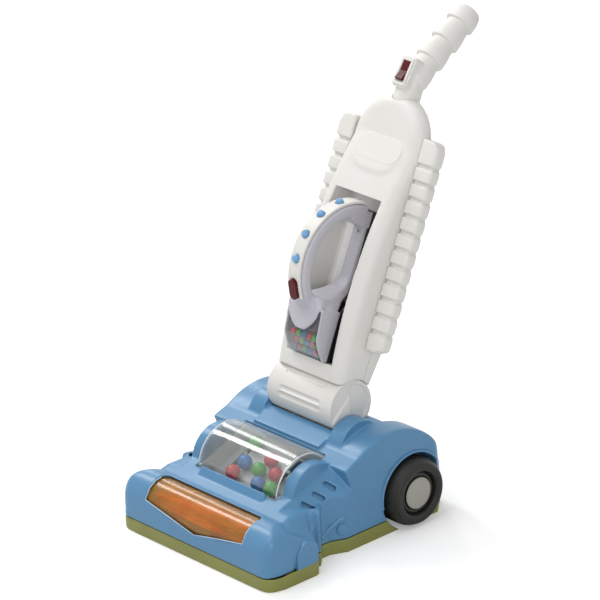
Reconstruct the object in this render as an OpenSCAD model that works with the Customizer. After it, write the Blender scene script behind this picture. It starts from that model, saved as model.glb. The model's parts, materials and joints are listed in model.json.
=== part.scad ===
// Toy upright vacuum cleaner: a rolling base with a popping-ball dome, a leaning upright with
// ribbed sides and a segmented grip, and a small hand vacuum that lifts out of the upright.
// Millimetres. The front is -Y, the rear axle runs along X above Y = 0, and the floor is Z = 0.

/* [Base] */
// Width across the front bumper
front_w = 250; // [242:1:262]
// Width across the waist behind the bumper
waist_w = 200; // [196:1:208]
// Width across the rear fenders
fender_w = 216; // [210:1:224]
// From the rear axle forward to the bumper's face
front_reach = 230; // [226:1:240]
// Front to back length of the wide bumper
lobe_len = 73; // [62:1:80]
// Length of the slanted step from bumper to waist
step_len = 26; // [16:1:34]
// Radius of the bumper's upright corners
corner_r = 9; // [5:0.5:14]
// Radius of the bumper's upper corners, seen from the front
shoulder_r = 24; // [16:1:26]
// Height of the seam between tray and hood
seam_z = 16.5; // [14:0.5:20]
// Wall of the tray and the hood
base_wall = 2.6; // [2:0.1:3]

/* [Deck] */
// Slope of the deck in degrees
deck_slope = 21.3; // [20.5:0.1:22]
// Height of the deck's plane above the rear axle's place on the floor
deck_rise = 135.8; // [133:0.2:138]
// Radius of the rear crest
crest_r = 89; // [87:0.5:91]
// Height of the crest's centre
crest_z = 31; // [29:0.5:33]
// From the rear axle forward to the crest's centre
crest_reach = 30; // [27:0.5:33]

/* [Nose] */
// Radius of the rolled nose
nose_r = 28.5; // [27:0.5:30]
// Height of the top of the nose
nose_top = 67; // [64:0.5:70]
// Width of the amber window's opening
window_w = 160; // [140:1:166]
// Height of the opening above its middle, across the nose
window_up = 23.5; // [20:0.5:25]
// Depth of the opening's straight sides below its middle
window_down = 13.5; // [10:0.5:16]
// Depth of the opening's point below its middle
window_point = 25; // [22:0.5:26]
// Wall of the amber window
window_wall = 2.2; // [1.6:0.1:2.6]

/* [Ball dome] */
// Width of the clear dome
dome_w = 130; // [120:1:136]
// Outer radius of the clear dome
dome_r = 43; // [41:0.5:44]
// Wall of the clear dome
dome_wall = 2; // [1.5:0.1:2.5]
// Diameter of a popping ball
ball_d = 17; // [14:0.5:17.4]
// Depth of the ball chamber's floor below the deck
chamber_depth = 23.6; // [22:0.2:25]

/* [Wheels and drive] */
// Radius of a rear wheel
wheel_r = 39.5; // [38:0.5:41]
// Width of a rear wheel
wheel_w = 39; // [34:1:40]
// From the middle of the part to the wheel's outer face
wheel_out = 121; // [117:1:125]
// Radius of the wheel arch
arch_r = 45; // [43:0.5:47]
// Radius of the grey hub cap
cap_r = 18.6; // [15:0.2:21]
// Radius of the rear axle
axle_r = 3; // [2.5:0.1:3.5]
// Radius of every belt pulley
pulley_r = 9; // [7:0.5:10]
// Radius that the popper's paddles sweep
paddle_r = 20; // [18.5:0.1:20.5]
// Outer radius of the beater roller
beater_r = 18; // [15:0.5:20]

/* [Hinge] */
// From the rear axle forward to the hinge pin
hinge_reach = 46; // [44:0.5:48]
// Height of the hinge pin
hinge_z = 98; // [96:0.5:100]
// Radius of the hinge pin
hinge_pin_r = 5; // [4:0.25:6]
// Radius of the blue hinge towers
tower_r = 31; // [29:0.5:32]
// Width of one hinge tower
tower_w = 21.5; // [20:0.5:22]
// Radius of the white hinge drum
drum_r = 31; // [29:0.5:32]
// Length of the white hinge drum
drum_w = 104; // [100:1:106]
// Lean of the upright in degrees
lean = 24; // [20:0.5:28]

/* [Upright] */
// Width of the upright's body
upright_w = 106; // [102:1:112]
// Height along the lean from hinge pin to the centre of the round top
crown_s = 330; // [324:1:336]
// Depth of the front bulge ahead of the hinge pin
bulge_n = 44.5; // [42:0.5:47]
// Height along the lean of the fullest part of the bulge
bulge_s = 155; // [145:1:165]
// Radius of the bulge, seen from the side
bulge_r = 560; // [520:5:620]
// Depth of the back shell behind the hinge pin
back_n = 20; // [19.5:0.25:23]
// Wall of the upright's shells
upright_wall = 2.6; // [2:0.1:3]
// Width across the ribbed wings
rib_span = 157; // [150:1:164]
// Spacing of the ribs
rib_pitch = 18.9; // [18:0.1:19.5]
// Height of one rib
rib_h = 14.4; // [11:0.2:15.5]

/* [Niche] */
// Width of the niche for the hand vacuum
niche_w = 72; // [68:1:78]
// Height along the lean of the niche's floor
niche_low = 78; // [76:0.5:82]
// Height along the lean of the niche's ceiling
niche_high = 266; // [262:1:272]

/* [Handle] */
// Radius of the neck under the grip
neck_r = 15.5; // [14:0.25:16.5]
// Height along the lean where the grip bends back
bend_s = 398; // [394:1:404]
// Bend of the grip behind the upright's lean, in degrees
grip_bend = 34; // [28:1:38]
// Radius of a grip segment at its wide lower end
cup_low_r = 17; // [16:0.25:18]
// Radius of a grip segment at its narrow upper end
cup_high_r = 14.6; // [13.5:0.1:15.5]
// Length of one grip segment
cup_len = 28; // [26:0.5:32]

/* [Hand vacuum] */
// Width of the hand vacuum's black back
vac_back_w = 56; // [50:1:60]
// Outer radius of the looped handle
loop_r = 72; // [70:0.5:74]
// Radius of the finger hole inside the looped handle
finger_r = 55; // [53:0.5:56]
// Width of the looped handle
loop_w = 24; // [22:0.5:28]
// Width of the clear cup
cup_w = 48; // [44:1:50]
// Diameter of a bead in the cup
bead_d = 8; // [6.5:0.25:8.2]

/* [Fits] */
// Radial clearance of a shaft that runs in a bore
run_gap = 0.06; // [0.03:0.01:0.09]
// Clearance of a fixed piece in its seat
seat_gap = 0.05; // [0.02:0.01:0.1]
// Clearance between pieces that move past each other
move_gap = 0.4; // [0.3:0.05:0.6]

/* [Hidden] */
$fn = 48;
// Facets of the largest curves
fine_fn = 360;

// Colours
deck_blue = [0.36, 0.57, 0.74];
tray_olive = [0.55, 0.56, 0.30];
amber = [0.80, 0.43, 0.08, 0.75];
clear = [0.85, 0.90, 0.93, 0.35];
off_white = [0.90, 0.89, 0.87];
cool_grey = [0.62, 0.62, 0.66];
near_black = [0.10, 0.10, 0.09];
cap_grey = [0.60, 0.60, 0.56];
maroon = [0.35, 0.05, 0.06];
pale_blue = [0.50, 0.68, 0.84];
steel = [0.70, 0.71, 0.73];
toy_red = [0.82, 0.12, 0.12];
toy_green = [0.22, 0.62, 0.20];
toy_blue = [0.12, 0.38, 0.70];

// Overrun of every cut past the face it opens
over = 1;
// A reach longer than the part, for cuts and half spaces
far = 700;

// Base outline
half_front = front_w / 2;
half_waist = waist_w / 2;
half_fender = fender_w / 2;
lobe_back_y = lobe_len - front_reach;
waist_y = lobe_back_y + step_len;
flare_start = 13;
flare_len = 18;
tail_len = 21;
tail_in = 18;
rear_y = crest_r - crest_reach;
nose_y = nose_r - front_reach;
nose_z = nose_top - nose_r;
deck_join_y = -2 * crest_reach;

// Wheels and wheel wells
axle_z = wheel_r;
wheel_in = wheel_out - wheel_w;
well_gap = 4;
well_x = wheel_in - well_gap;
tyre_inner_r = 25;
tread_edge = 4.5;
tread_shoulder = 9;
hub_recess = 5;
hub_wall = 3;
hub_boss_r = 8;
cap_t = 2.4;
cap_stem_r = 6;
cap_stem_len = 4;
axle_end = wheel_out - hub_recess - cap_stem_len - 2 * over;

// Hinge, towers and the well that the upright leans back into
hinge_y = -hinge_reach;
hinge_side_gap = 1.5;
tower_in = drum_w / 2 + hinge_side_gap;
tower_out = tower_in + tower_w;
knuckle_share = 2.7;
knuckle_r = knuckle_share * hinge_pin_r;
knuckle_gap = 2.5;
well_front_y = hinge_y - knuckle_r - knuckle_gap;
well_floor_z = hinge_z - knuckle_r - 2 * knuckle_gap;
wide_well_y = hinge_y + tower_r + over;
pin_cap = 3;
pin_end = tower_out - pin_cap;
pin_boss_r = 2 * hinge_pin_r;
drum_s = 38.4;
drum_n = 7.2;
drum_wall = 3;

// Screws
screw_r = 1.7;
screw_head_r = 3.3;
screw_head_h = 2.2;
screw_sunk = 1;
screw_len = 24;
post_r = 4.2;
boss_r = 6;
boss_top = 14;
front_post_back = 40;
mid_post_x = 84;
mid_post_y = -72;
rear_post_x = 60;
rear_post_y = 42;

// Dome, ball chamber and balls, in the deck's own frame
deck_ref_share = 0.524;
deck_ref_y = -deck_ref_share * front_reach;
dome_y = -7.4;
dome_drop = 18.9;
dome_gap = 0.5;
flange_t = 1.6;
flange_w = 3;
rim_t = 2;
dome_deep = base_wall + seat_gap + flange_t;
rim_top = dome_deep + seat_gap;
dome_half = sqrt(dome_r * dome_r - (dome_drop - base_wall) * (dome_drop - base_wall));
chamber_half_w = dome_w / 2 - dome_wall;
chamber_half_l = dome_half - dome_wall;
tray_wall = 2;
tray_floor = 2.4;
tab_len = 9;
tab_t = 2.4;
tab_drop = 12;
tab_x = dome_w / 2 + flange_w + post_r;
tab_front_y = dome_y - dome_half + flange_w;
tab_rear_y = dome_y + dome_half - flange_w;
chamber_screw_len = 10;
cheek_r = 36;
cheek_w = 16;
sill_w = 104;
sill_len = 12;
sill_h = 6;
ball_r = ball_d / 2;
red_shares = [[-0.05, 0.39], [0.31, -0.01], [-0.51, -0.51]];
green_shares = [[-0.67, 0.74], [-0.09, -0.08], [0.48, -0.52]];
blue_shares = [[-0.49, -0.03], [0.16, -0.54]];

// Popper shaft and its paddles, in the deck's own frame
popper_y = 8;
paddle_reach = 1.6;
popper_drop = chamber_depth + paddle_r - paddle_reach;
popper_r = 3;
paddle_w = 5;
paddle_t = 3;
paddle_hub_r = 6;
paddle_count = 3;
paddle_shares = [-0.80, 0.32, 0.74];
slot_gap = 1.2;
ear_t = 4;
ear_w = 14;
ear_share = 0.93;
pulley_w = 6;
pulley_lip = 1.2;
belt_t = 2;
belt_w = 4;
drive_belt_x = 69;

// Beater roller behind the amber window
beater_core_in = 4;
beater_core_r = beater_r - beater_core_in;
beater_flute_r = 2.4;
beater_flutes = 8;
beater_end_gap = 2;
beater_half = window_w / 2 - beater_end_gap;
journal_r = 4;
bearing_t = 4;
bearing_x = beater_half + beater_end_gap;
bearing_w = 14;
beater_belt_x = bearing_x + bearing_t + over + pulley_w / 2;

// Places of the base screws; the front ones stand between the beater belt and the bumper's side
front_post_share = 0.65;
front_post_x = beater_belt_x + front_post_share * (half_front - beater_belt_x);
base_posts = [
    for (side = [-1, 1]) [side * front_post_x, front_post_back - front_reach],
    for (side = [-1, 1]) [side * mid_post_x, mid_post_y],
    for (side = [-1, 1]) [side * rear_post_x, rear_post_y]
];

// Small details of the hood
edge_x = dome_w / 2 + cheek_w;
edge_h = 30;
edge_end_y = 22;
slit_w = 5.4;
slit_pitch = 18;
slit_len = 16;
slit_drop = 12.5;
slit_turn = 19;
slit_count = 3;
slit_first_y = -30;
bridge_w = 106;
bridge_h = 4;
inset_r = 21;
inset_t = 1.2;
inset_y = -173;

// Axle pedestals and bushes
pedestal_t = 8;
pedestal_x = 54;
pedestal_w = 20;
bush_r = 6;
bush_lip = 2;
bush_lip_t = 1.5;

// Upright
half_upright = upright_w / 2;
upright_low = 60;
edge_r = 14;
crown_edge_r = 14;
crown_face_n = 17.5;
badge_s = 319;
badge_r = 27;
badge_half = 10;
badge_h = 2.2;
badge_recess = 0.8;
badge_border = 13;
badge_n = bulge_n - bulge_r + sqrt(bulge_r * bulge_r - (badge_s - bulge_s) * (badge_s - bulge_s));
badge_tilt = asin((badge_s - bulge_s) / bulge_r);
rib_front_n = 14;
rib_back_n = 3;
rib_corner_r = 5;
rib_count = 10;
rib_top = 345;
rib_top_h = 27;
rib_low_h = 20;
rib_gap = rib_pitch - rib_h;
rib_inner = half_upright + 2 * seat_gap;
rib_groove = 4;
rib_low = rib_top - rib_top_h - rib_gap - rib_count * rib_pitch - rib_low_h;
tongue_w = 60;
tongue_t = 4.5;
tongue_top = 112;
tongue_y = 1.5;
groove_w = 64;
groove_h = 5;
groove_deep = 2;
groove_angles = [8, -30];
end_recess_r = 26;
end_recess = 2;
wedge_angle = 118;
upright_post_x = half_upright - upright_wall - post_r;
upright_post_s = [134, 192, 248];
tongue_screw_s = 102;
tongue_screw_sunk = 6;
foot_s = 125;
foot_n = 9;
thin_s = 256;
thin_n = 2.2;
tongue_screw_x = 20;
upright_screw_len = 28;

// Battery box, door, speaker and sound board inside the back shell
cell_r = 7.1;
cell_len = 50;
cell_pitch = 15.4;
cell_count = 3;
box_wall = 1.5;
box_low = 130;
box_floor_y = 1.4;
door_border = 4;
speaker_r = 20;
speaker_t = 7;
speaker_s = 240;
speaker_magnet_r = 9;
speaker_magnet_t = 5;
board_w = 56;
board_h = 36;
board_t = 1.6;
board_s = 278;
board_post = 3;

// Neck, grip and switch
neck_low = 352;
grip_bore = 10.5;
bend_proud = 0.5;
grip_start = 21;
grip_cups = 3;
tip_round = 6;
switch_s = 408;
switch_n = 15.8;
switch_tilt = 11;
switch_w = 23;
switch_len = 37;
switch_deep = 13;
bezel_w = 18;
bezel_len = 32;
bezel_out = 1.8;
bezel_deep = 7;
bezel_hole_w = 11.4;
bezel_hole_len = 25;
rocker_w = bezel_hole_w - 2 * move_gap;
rocker_len = bezel_hole_len - 6 * move_gap;
rocker_pin_r = 1.5;
rocker_pin_y = 3.2;
rocker_pin_end = bezel_w / 2 - over;
rocker_rise = 3.4;
rocker_mid = 1.2;
rocker_deep = 5.2;
rocker_rest = 8;

// Hand vacuum, in the upright's frame
vac_low = niche_low + move_gap;
vac_high = 250;
vac_back_n = upright_wall + move_gap;
vac_wall = 2.2;
vac_boss_h = 5;
vac_panel = 2.6;
tub_n = 29;
tub_top_s = 150;
keel_w = 18;
keel_n = 27;
strip_t = 3;
top_block_t = 14;
top_block_h = 13;
top_block_w = 40;
loop_s = 187;
loop_n = 29;
loop_low_s = 141;
loop_low_n = keel_n + seat_gap;
spine_t = 3;
spine_w = 18;
cup_top_s = 132;
cup_back_n = 32;
cup_front_n = 66;
cup_mid_s = 100;
cup_mid_n = 62;
cup_toe_s = 87;
cup_toe_n = 53;
cup_heel_n = 45;
cup_wall = 2;
head_h = 11;
tongue_end_s = 104;
lip_w = 26;
lip_t = 4.5;
lip_gap = 0.3;
lip_knee_s = 136;
lip_knee_n = 79;
vac_screw_s = [112, 225];
vac_screw_len = 18;
bead_r = bead_d / 2;
bead_gap = 0.4;
bead_pitch = bead_d + bead_gap;
bead_columns = 5;
bead_layers = 3;

// Buttons on the looped handle
button_r = 4.6;
button_flange = 1;
button_flange_t = 1.6;
button_rise = 3.6;
button_hole_r = button_r + move_gap;
pocket_deep = 5.4;
button_angles = [66, 43, 20, -3];
trigger_angle = -31;
trigger_r = 5.6;
trigger_half = 6.5;
trigger_rise = 3;
trigger_pocket = 7;

// The deck's height at a place along Y
function deck_z(y) = deck_rise + y * tan(deck_slope);
// The underside of the hood, or a little below it where a cavity has to open downwards
function hood_low(t) = t > 0 ? seam_z - over : seam_z;
// How far forward the cup's upper front stands at a height along the lean
function cup_face(s) = cup_mid_n + (cup_front_n - cup_mid_n) * (s - cup_mid_s) / (cup_top_s - cup_mid_s);
// How far the inside of the spine drops away at a distance along it
function spine_drop(along) = loop_r - spine_t - sqrt((loop_r - spine_t) * (loop_r - spine_t) - along * along);
// A right-hand outline with its mirror image added
function both_sides(points) = concat(points, [
    for (i = [len(points) - 1:-1:0]) [-points[i][0], points[i][1]]
]);

// Extrudes a side view, drawn as [y, z], across X
module along_x(half) rotate([90, 0, 90]) translate([0, 0, -half]) linear_extrude(2 * half) children();

// Extrudes a front view, drawn as [x, z], from one Y to another
module along_y(y0, y1) translate([0, y1, 0]) rotate([90, 0, 0]) linear_extrude(y1 - y0) children();

// A rod along X between two places
module rod_x(r, x0, x1) translate([x0, 0, 0]) rotate([0, 90, 0]) cylinder(r = r, h = x1 - x0);

// A slot outline with round ends, lying along X
module stadium(r, half) {
    square([2 * half, 2 * r], center = true);
    for (side = [-1, 1]) translate([side * half, 0]) circle(r);
}

// The frames that the pieces are drawn in
module at_axle() translate([0, 0, axle_z]) children();
module at_nose() translate([0, nose_y, nose_z]) children();
module on_deck() translate([0, deck_ref_y, deck_z(deck_ref_y)]) rotate([deck_slope, 0, 0]) children();
module on_upright() translate([0, hinge_y, hinge_z]) rotate([-lean, 0, 0]) children();
module on_grip() on_upright() translate([0, 0, bend_s]) rotate([-grip_bend, 0, 0]) children();
module on_switch() on_upright() translate([0, -switch_n, switch_s]) rotate([-switch_tilt, 0, 0]) children();
module on_loop(angle) on_upright() translate([0, -loop_n, loop_s]) rotate([90 - angle, 0, 0]) children();
module on_popper() on_deck() translate([0, popper_y, -popper_drop]) children();

// Base outline in plan
module front_plan(t) {
    polygon(both_sides([
        [half_front - corner_r, t - front_reach],
        [half_front - t, corner_r - front_reach],
        [half_front - t, lobe_back_y],
        [half_waist - t, waist_y]
    ]));
    for (side = [-1, 1])
        translate([side * (half_front - corner_r), corner_r - front_reach]) circle(corner_r - t);
}

module rear_plan(t) polygon(both_sides([
    [half_waist - t, nose_y],
    [half_waist - t, waist_y + flare_start],
    [half_fender - t, waist_y + flare_start + flare_len],
    [half_fender - t, rear_y - tail_len],
    [half_fender - tail_in - t, rear_y - t]
]));

// Side view of the nose roll, deck and rear crest
module side_view(t) {
    translate([t - front_reach, hood_low(t)]) square([nose_r - t, nose_z - hood_low(t)]);
    polygon([
        [nose_y, hood_low(t)],
        [nose_y, deck_z(nose_y) - t / cos(deck_slope)],
        [deck_join_y, deck_z(deck_join_y) - t / cos(deck_slope)],
        [deck_join_y, hood_low(t)]
    ]);
    intersection() {
        union() {
            translate([nose_y, nose_z]) circle(nose_r - t);
            translate([-crest_reach, crest_z]) circle(crest_r - t);
        }
        translate([-far, hood_low(t)]) square([2 * far, far]);
    }
}

// Front view of the bumper with its rounded shoulders
module front_view(t) {
    translate([t - half_front, 0]) square([front_w - 2 * t, nose_top - shoulder_r]);
    translate([shoulder_r - half_front, 0]) square([front_w - 2 * shoulder_r, nose_top - t]);
    for (side = [-1, 1])
        translate([side * (half_front - shoulder_r), nose_top - shoulder_r]) circle(shoulder_r - t);
}

// The slanted faces cut along both edges of the deck, moved in by t
module deck_edges(t) for (side = [0, 1]) mirror([side, 0, 0]) on_deck() along_y(-far, edge_end_y + t)
    translate([edge_x - t * sqrt(2), 0]) polygon([[edge_h, -edge_h], [-edge_h, edge_h], [edge_h, edge_h]]);

// The hood's outer form, or the same form drawn in by t on every side
module hood_form(t) {
    intersection() {
        linear_extrude(nose_top + over) front_plan(t);
        along_x(half_front) side_view(t);
        along_y(-front_reach, 0) front_view(t);
    }
    difference() {
        intersection() {
            linear_extrude(crest_z + crest_r + over) rear_plan(t);
            along_x(half_front) side_view(t);
        }
        deck_edges(t);
    }
    for (side = [-1, 1]) {
        x0 = side > 0 ? tower_in + t : t - tower_out;
        translate([0, hinge_y, hinge_z]) rod_x(tower_r - t, x0, x0 + tower_w - 2 * t);
        c0 = side > 0 ? dome_w / 2 + over + t : t - dome_w / 2 - over - cheek_w;
        on_deck() translate([0, dome_y, -dome_drop]) rod_x(cheek_r - t, c0, c0 + cheek_w - 2 * t);
    }
}

// The low sill in front of the dome
module sill() on_deck() along_x(sill_w / 2) polygon([
    [dome_y - dome_half - sill_len, -over],
    [dome_y - dome_half - over, -over],
    [dome_y - dome_half - over, sill_h]
]);

// The raised plate between the dome and the hinge well
module bridge() on_deck() translate([-bridge_w / 2, dome_y + dome_half + flange_w, -over])
    cube([bridge_w, dome_half, bridge_h + over]);

// The well between and behind the towers, grown by t
module hinge_well(t) {
    translate([-tower_in - t, well_front_y - t, well_floor_z - t]) cube([2 * (tower_in + t), far, far]);
    translate([-tower_out - t, wide_well_y - t, well_floor_z - t]) cube([2 * (tower_out + t), far, far]);
}

// The wheel wells, grown by t
module wheel_wells(t) at_axle() {
    rod_x(arch_r + t, well_x - t, half_front);
    rod_x(arch_r + t, -half_front, t - well_x);
}

// Slits through the slanted faces beside the dome
module side_slits() for (side = [0, 1], i = [0:slit_count - 1]) mirror([side, 0, 0]) on_deck()
    translate([edge_x + slit_drop, slit_first_y + i * slit_pitch, -slit_drop]) rotate([0, 45, 0])
        rotate(slit_turn) linear_extrude(4 * base_wall, center = true)
            stadium(slit_w / 2, (slit_len - slit_w) / 2);

// The pentagon opening over the beater roller
module window_cut() at_nose() rotate([-45, 0, 0]) along_y(-nose_r - over, 0) intersection() {
    polygon(both_sides([
        [0, -window_point],
        [window_w / 2, -window_down],
        [window_w / 2, window_up]
    ]));
    union() {
        translate([0, window_up - window_down / 2]) stadium(window_down / 2, (window_w - window_down) / 2);
        translate([-window_w / 2, -far]) square([window_w, far + window_up - window_down / 2]);
    }
}

// Posts and places for the base screws
module base_post_places() for (p = base_posts) translate([p[0], p[1], 0]) children();

// Bosses under the deck for the chamber screws
module chamber_places() for (x = [-tab_x, tab_x], y = [tab_front_y, tab_rear_y])
    translate([x, y, 0]) children();

module base_tray() color(tray_olive) difference() {
    union() {
        difference() {
            linear_extrude(seam_z) union() {
                front_plan(0);
                rear_plan(0);
            }
            difference() {
                translate([0, 0, base_wall]) linear_extrude(seam_z) union() {
                    front_plan(base_wall);
                    rear_plan(base_wall);
                }
                wheel_wells(base_wall);
            }
        }
        base_post_places() cylinder(r = boss_r, h = boss_top);
        for (x = [-pedestal_x, pedestal_x])
            translate([x - pedestal_t / 2, -pedestal_w / 2, base_wall / 2])
                cube([pedestal_t, pedestal_w, axle_z]);
        at_axle() for (x = [-pedestal_x, pedestal_x])
            rod_x(pedestal_w / 2, x - pedestal_t / 2, x + pedestal_t / 2);
    }
    wheel_wells(0);
    base_post_places() translate([0, 0, -over]) cylinder(r = screw_r + seat_gap, h = boss_top + 2 * over);
    base_post_places() translate([0, 0, -over])
        cylinder(r = screw_head_r + seat_gap, h = screw_sunk + screw_head_h + over);
    at_axle() rod_x(bush_r + seat_gap, -half_fender, half_fender);
}

module hood() color(deck_blue) difference() {
    union() {
        difference() {
            union() {
                hood_form(0);
                sill();
                bridge();
            }
            difference() {
                hood_form(base_wall);
                hinge_well(base_wall);
                wheel_wells(base_wall);
            }
        }
        translate([0, hinge_y, hinge_z]) {
            rod_x(pin_boss_r, tower_in, tower_out - base_wall / 2);
            rod_x(pin_boss_r, base_wall / 2 - tower_out, -tower_in);
        }
        intersection() {
            union() {
                translate([0, 0, boss_top + seat_gap]) base_post_places() cylinder(r = post_r, h = far);
                on_deck() chamber_places() translate([0, 0, -tab_drop]) cylinder(r = post_r, h = tab_drop);
            }
            union() {
                hood_form(base_wall / 2);
                translate([0, 0, boss_top]) base_post_places() cylinder(r = post_r, h = seam_z);
            }
        }
    }
    hinge_well(0);
    wheel_wells(0);
    side_slits();
    window_cut();
    at_axle() rod_x(bush_r, -half_fender, half_fender);
    on_deck() translate([-dome_w / 2 - dome_gap, dome_y - dome_half - dome_gap, -dome_r])
        cube([dome_w + 2 * dome_gap, 2 * (dome_half + dome_gap), 2 * dome_r]);
    for (side = [-1, 1]) translate([side * half_front, inset_y, seam_z])
        rod_x(inset_r, -inset_t, inset_t);
    translate([0, hinge_y, hinge_z]) rod_x(hinge_pin_r + seat_gap, -pin_end - seat_gap, pin_end + seat_gap);
    base_post_places() cylinder(r = screw_r + seat_gap, h = screw_sunk + screw_head_h + screw_len + over);
    on_deck() chamber_places() translate([0, 0, -tab_drop - over])
        cylinder(r = screw_r + seat_gap, h = chamber_screw_len - tab_t + over);
}

module roller_window() color(amber) at_nose() {
    outer = nose_r - base_wall - seat_gap;
    half = window_w / 2 + base_wall;
    intersection() {
        difference() {
            rod_x(outer, -half, half);
            rod_x(outer - window_wall, -half - over, half + over);
        }
        rotate([-45, 0, 0]) translate([-half, -2 * nose_r, -nose_r]) cube([2 * half, 2 * nose_r, 2 * nose_r]);
    }
}

module ball_dome() color(clear) on_deck() {
    half = dome_w / 2;
    difference() {
        translate([0, dome_y, -dome_drop]) rod_x(dome_r, -half, half);
        translate([0, dome_y, -dome_drop]) rod_x(dome_r - dome_wall, dome_wall - half, half - dome_wall);
        translate([-far, -far, -far - dome_deep]) cube([2 * far, 2 * far, far]);
    }
    difference() {
        translate([-half - flange_w, dome_y - dome_half - flange_w, -dome_deep])
            cube([2 * (half + flange_w), 2 * (dome_half + flange_w), flange_t]);
        translate([-chamber_half_w, dome_y - chamber_half_l, -dome_deep - over])
            cube([2 * chamber_half_w, 2 * chamber_half_l, flange_t + 2 * over]);
    }
}

module ball_tray() color(cap_grey) {
    half = dome_w / 2;
    ear_x = ear_share * chamber_half_w;
    tab_low = -tab_drop - seat_gap - tab_t;
    on_deck() difference() {
        union() {
            translate([-half - flange_w, dome_y - dome_half - flange_w, -rim_top - rim_t])
                cube([2 * (half + flange_w), 2 * (dome_half + flange_w), rim_t]);
            translate([-half, dome_y - dome_half, -chamber_depth - tray_floor])
                cube([2 * half, 2 * dome_half, chamber_depth + tray_floor - rim_top - over]);
            chamber_places() translate([-tab_len / 2, -tab_len / 2, tab_low])
                cube([tab_len, tab_len, tab_t]);
            for (side = [-1, 1])
                translate([side > 0 ? half - over : -tab_x, tab_front_y - tab_len / 2, tab_low])
                    cube([tab_x - half + over, tab_rear_y - tab_front_y + tab_len, tab_t]);
            for (x = [-ear_x, ear_x]) {
                translate([x - ear_t / 2, popper_y - ear_w / 2, -popper_drop])
                    cube([ear_t, ear_w, popper_drop - chamber_depth]);
                translate([0, popper_y, -popper_drop]) rod_x(ear_w / 2, x - ear_t / 2, x + ear_t / 2);
            }
        }
        translate([-chamber_half_w, dome_y - chamber_half_l, -chamber_depth])
            cube([2 * chamber_half_w, 2 * chamber_half_l, chamber_depth]);
        for (s = paddle_shares) translate([
            s * chamber_half_w - paddle_w / 2 - slot_gap,
            popper_y - paddle_r,
            -chamber_depth - 2 * tray_floor
        ]) cube([paddle_w + 2 * slot_gap, 2 * paddle_r, 3 * tray_floor]);
        translate([0, popper_y, -popper_drop]) rod_x(popper_r + run_gap, -half, half);
        chamber_places() translate([0, 0, -far]) cylinder(r = screw_r + seat_gap, h = far);
    }
}

module hinge_pin() color(steel) translate([0, hinge_y, hinge_z]) rod_x(hinge_pin_r, -pin_end, pin_end);

module axle_bush(side) color(cap_grey) at_axle() mirror([side > 0 ? 0 : 1, 0, 0]) difference() {
    union() {
        rod_x(bush_r, pedestal_x - pedestal_t / 2, pedestal_x + pedestal_t / 2);
        rod_x(bush_r + bush_lip, pedestal_x - pedestal_t / 2 - bush_lip_t, pedestal_x - pedestal_t / 2);
    }
    rod_x(axle_r + run_gap, 0, half_fender);
}

module roller_bearing(side) color(cap_grey) mirror([side > 0 ? 0 : 1, 0, 0]) difference() {
    union() {
        translate([bearing_x, nose_y - bearing_w / 2, base_wall + seat_gap])
            cube([bearing_t, bearing_w, nose_z - base_wall - seat_gap]);
        at_nose() rod_x(bearing_w / 2, bearing_x, bearing_x + bearing_t);
    }
    at_nose() rod_x(journal_r + run_gap, 0, half_front);
}

// A belt round two equal pulleys, between two centres given as [y, z]
module belt(from, to, x) {
    run = norm(to - from);
    angle = atan2(to[1] - from[1], to[0] - from[0]);
    inner = pulley_r + move_gap;
    translate([x, (from[0] + to[0]) / 2, (from[1] + to[1]) / 2]) rotate([angle, 0, 0]) along_x(belt_w / 2)
        difference() {
            stadium(inner + belt_t, run / 2);
            stadium(inner, run / 2);
        }
}

popper_place = [
    deck_ref_y + popper_y * cos(deck_slope) + popper_drop * sin(deck_slope),
    deck_z(deck_ref_y) + popper_y * sin(deck_slope) - popper_drop * cos(deck_slope)
];

module drive_belt() color(near_black) belt(popper_place, [0, axle_z], drive_belt_x);
module beater_belt() color(near_black) belt([nose_y, nose_z], popper_place, -beater_belt_x);

// A screw whose head's face lies at z = 0 and whose shank runs up
module screw(len) {
    cylinder(r = screw_head_r, h = screw_head_h);
    cylinder(r = screw_r, h = screw_head_h + len);
}

module base_screws() color(steel) base_post_places() translate([0, 0, screw_sunk]) screw(screw_len - over);

module chamber_screws() color(steel) on_deck() chamber_places()
    translate([0, 0, -tab_drop - 2 * seat_gap - tab_t - screw_head_h]) screw(chamber_screw_len - over);

// A pulley with a groove for a belt, centred at x
module pulley(x, bore) difference() {
    union() {
        rod_x(pulley_r, x - pulley_w / 2, x + pulley_w / 2);
        for (side = [-1, 1]) {
            lip_x = x + side * (belt_w / 2 + move_gap + pulley_lip / 2);
            rod_x(pulley_r + pulley_lip, lip_x - pulley_lip / 2, lip_x + pulley_lip / 2);
        }
    }
    rod_x(bore, x - pulley_w, x + pulley_w);
}

module rear_axle() color(steel) at_axle() rod_x(axle_r, -axle_end, axle_end);
module axle_pulley() color(cap_grey) at_axle() pulley(drive_belt_x, axle_r + seat_gap);

// A turned piece on the axle, drawn as [radius, distance inwards from the wheel's outer face]
module on_wheel(side) at_axle() mirror([side > 0 ? 0 : 1, 0, 0])
    translate([wheel_out, 0, 0]) rotate([0, -90, 0]) rotate_extrude() children();

module tyre(side) color(near_black) on_wheel(side) polygon([
    [tyre_inner_r, 0],
    [wheel_r - tread_edge, 0],
    [wheel_r, tread_shoulder],
    [wheel_r, wheel_w - tread_edge],
    [wheel_r - tread_edge, wheel_w],
    [tyre_inner_r, wheel_w]
]);

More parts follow.
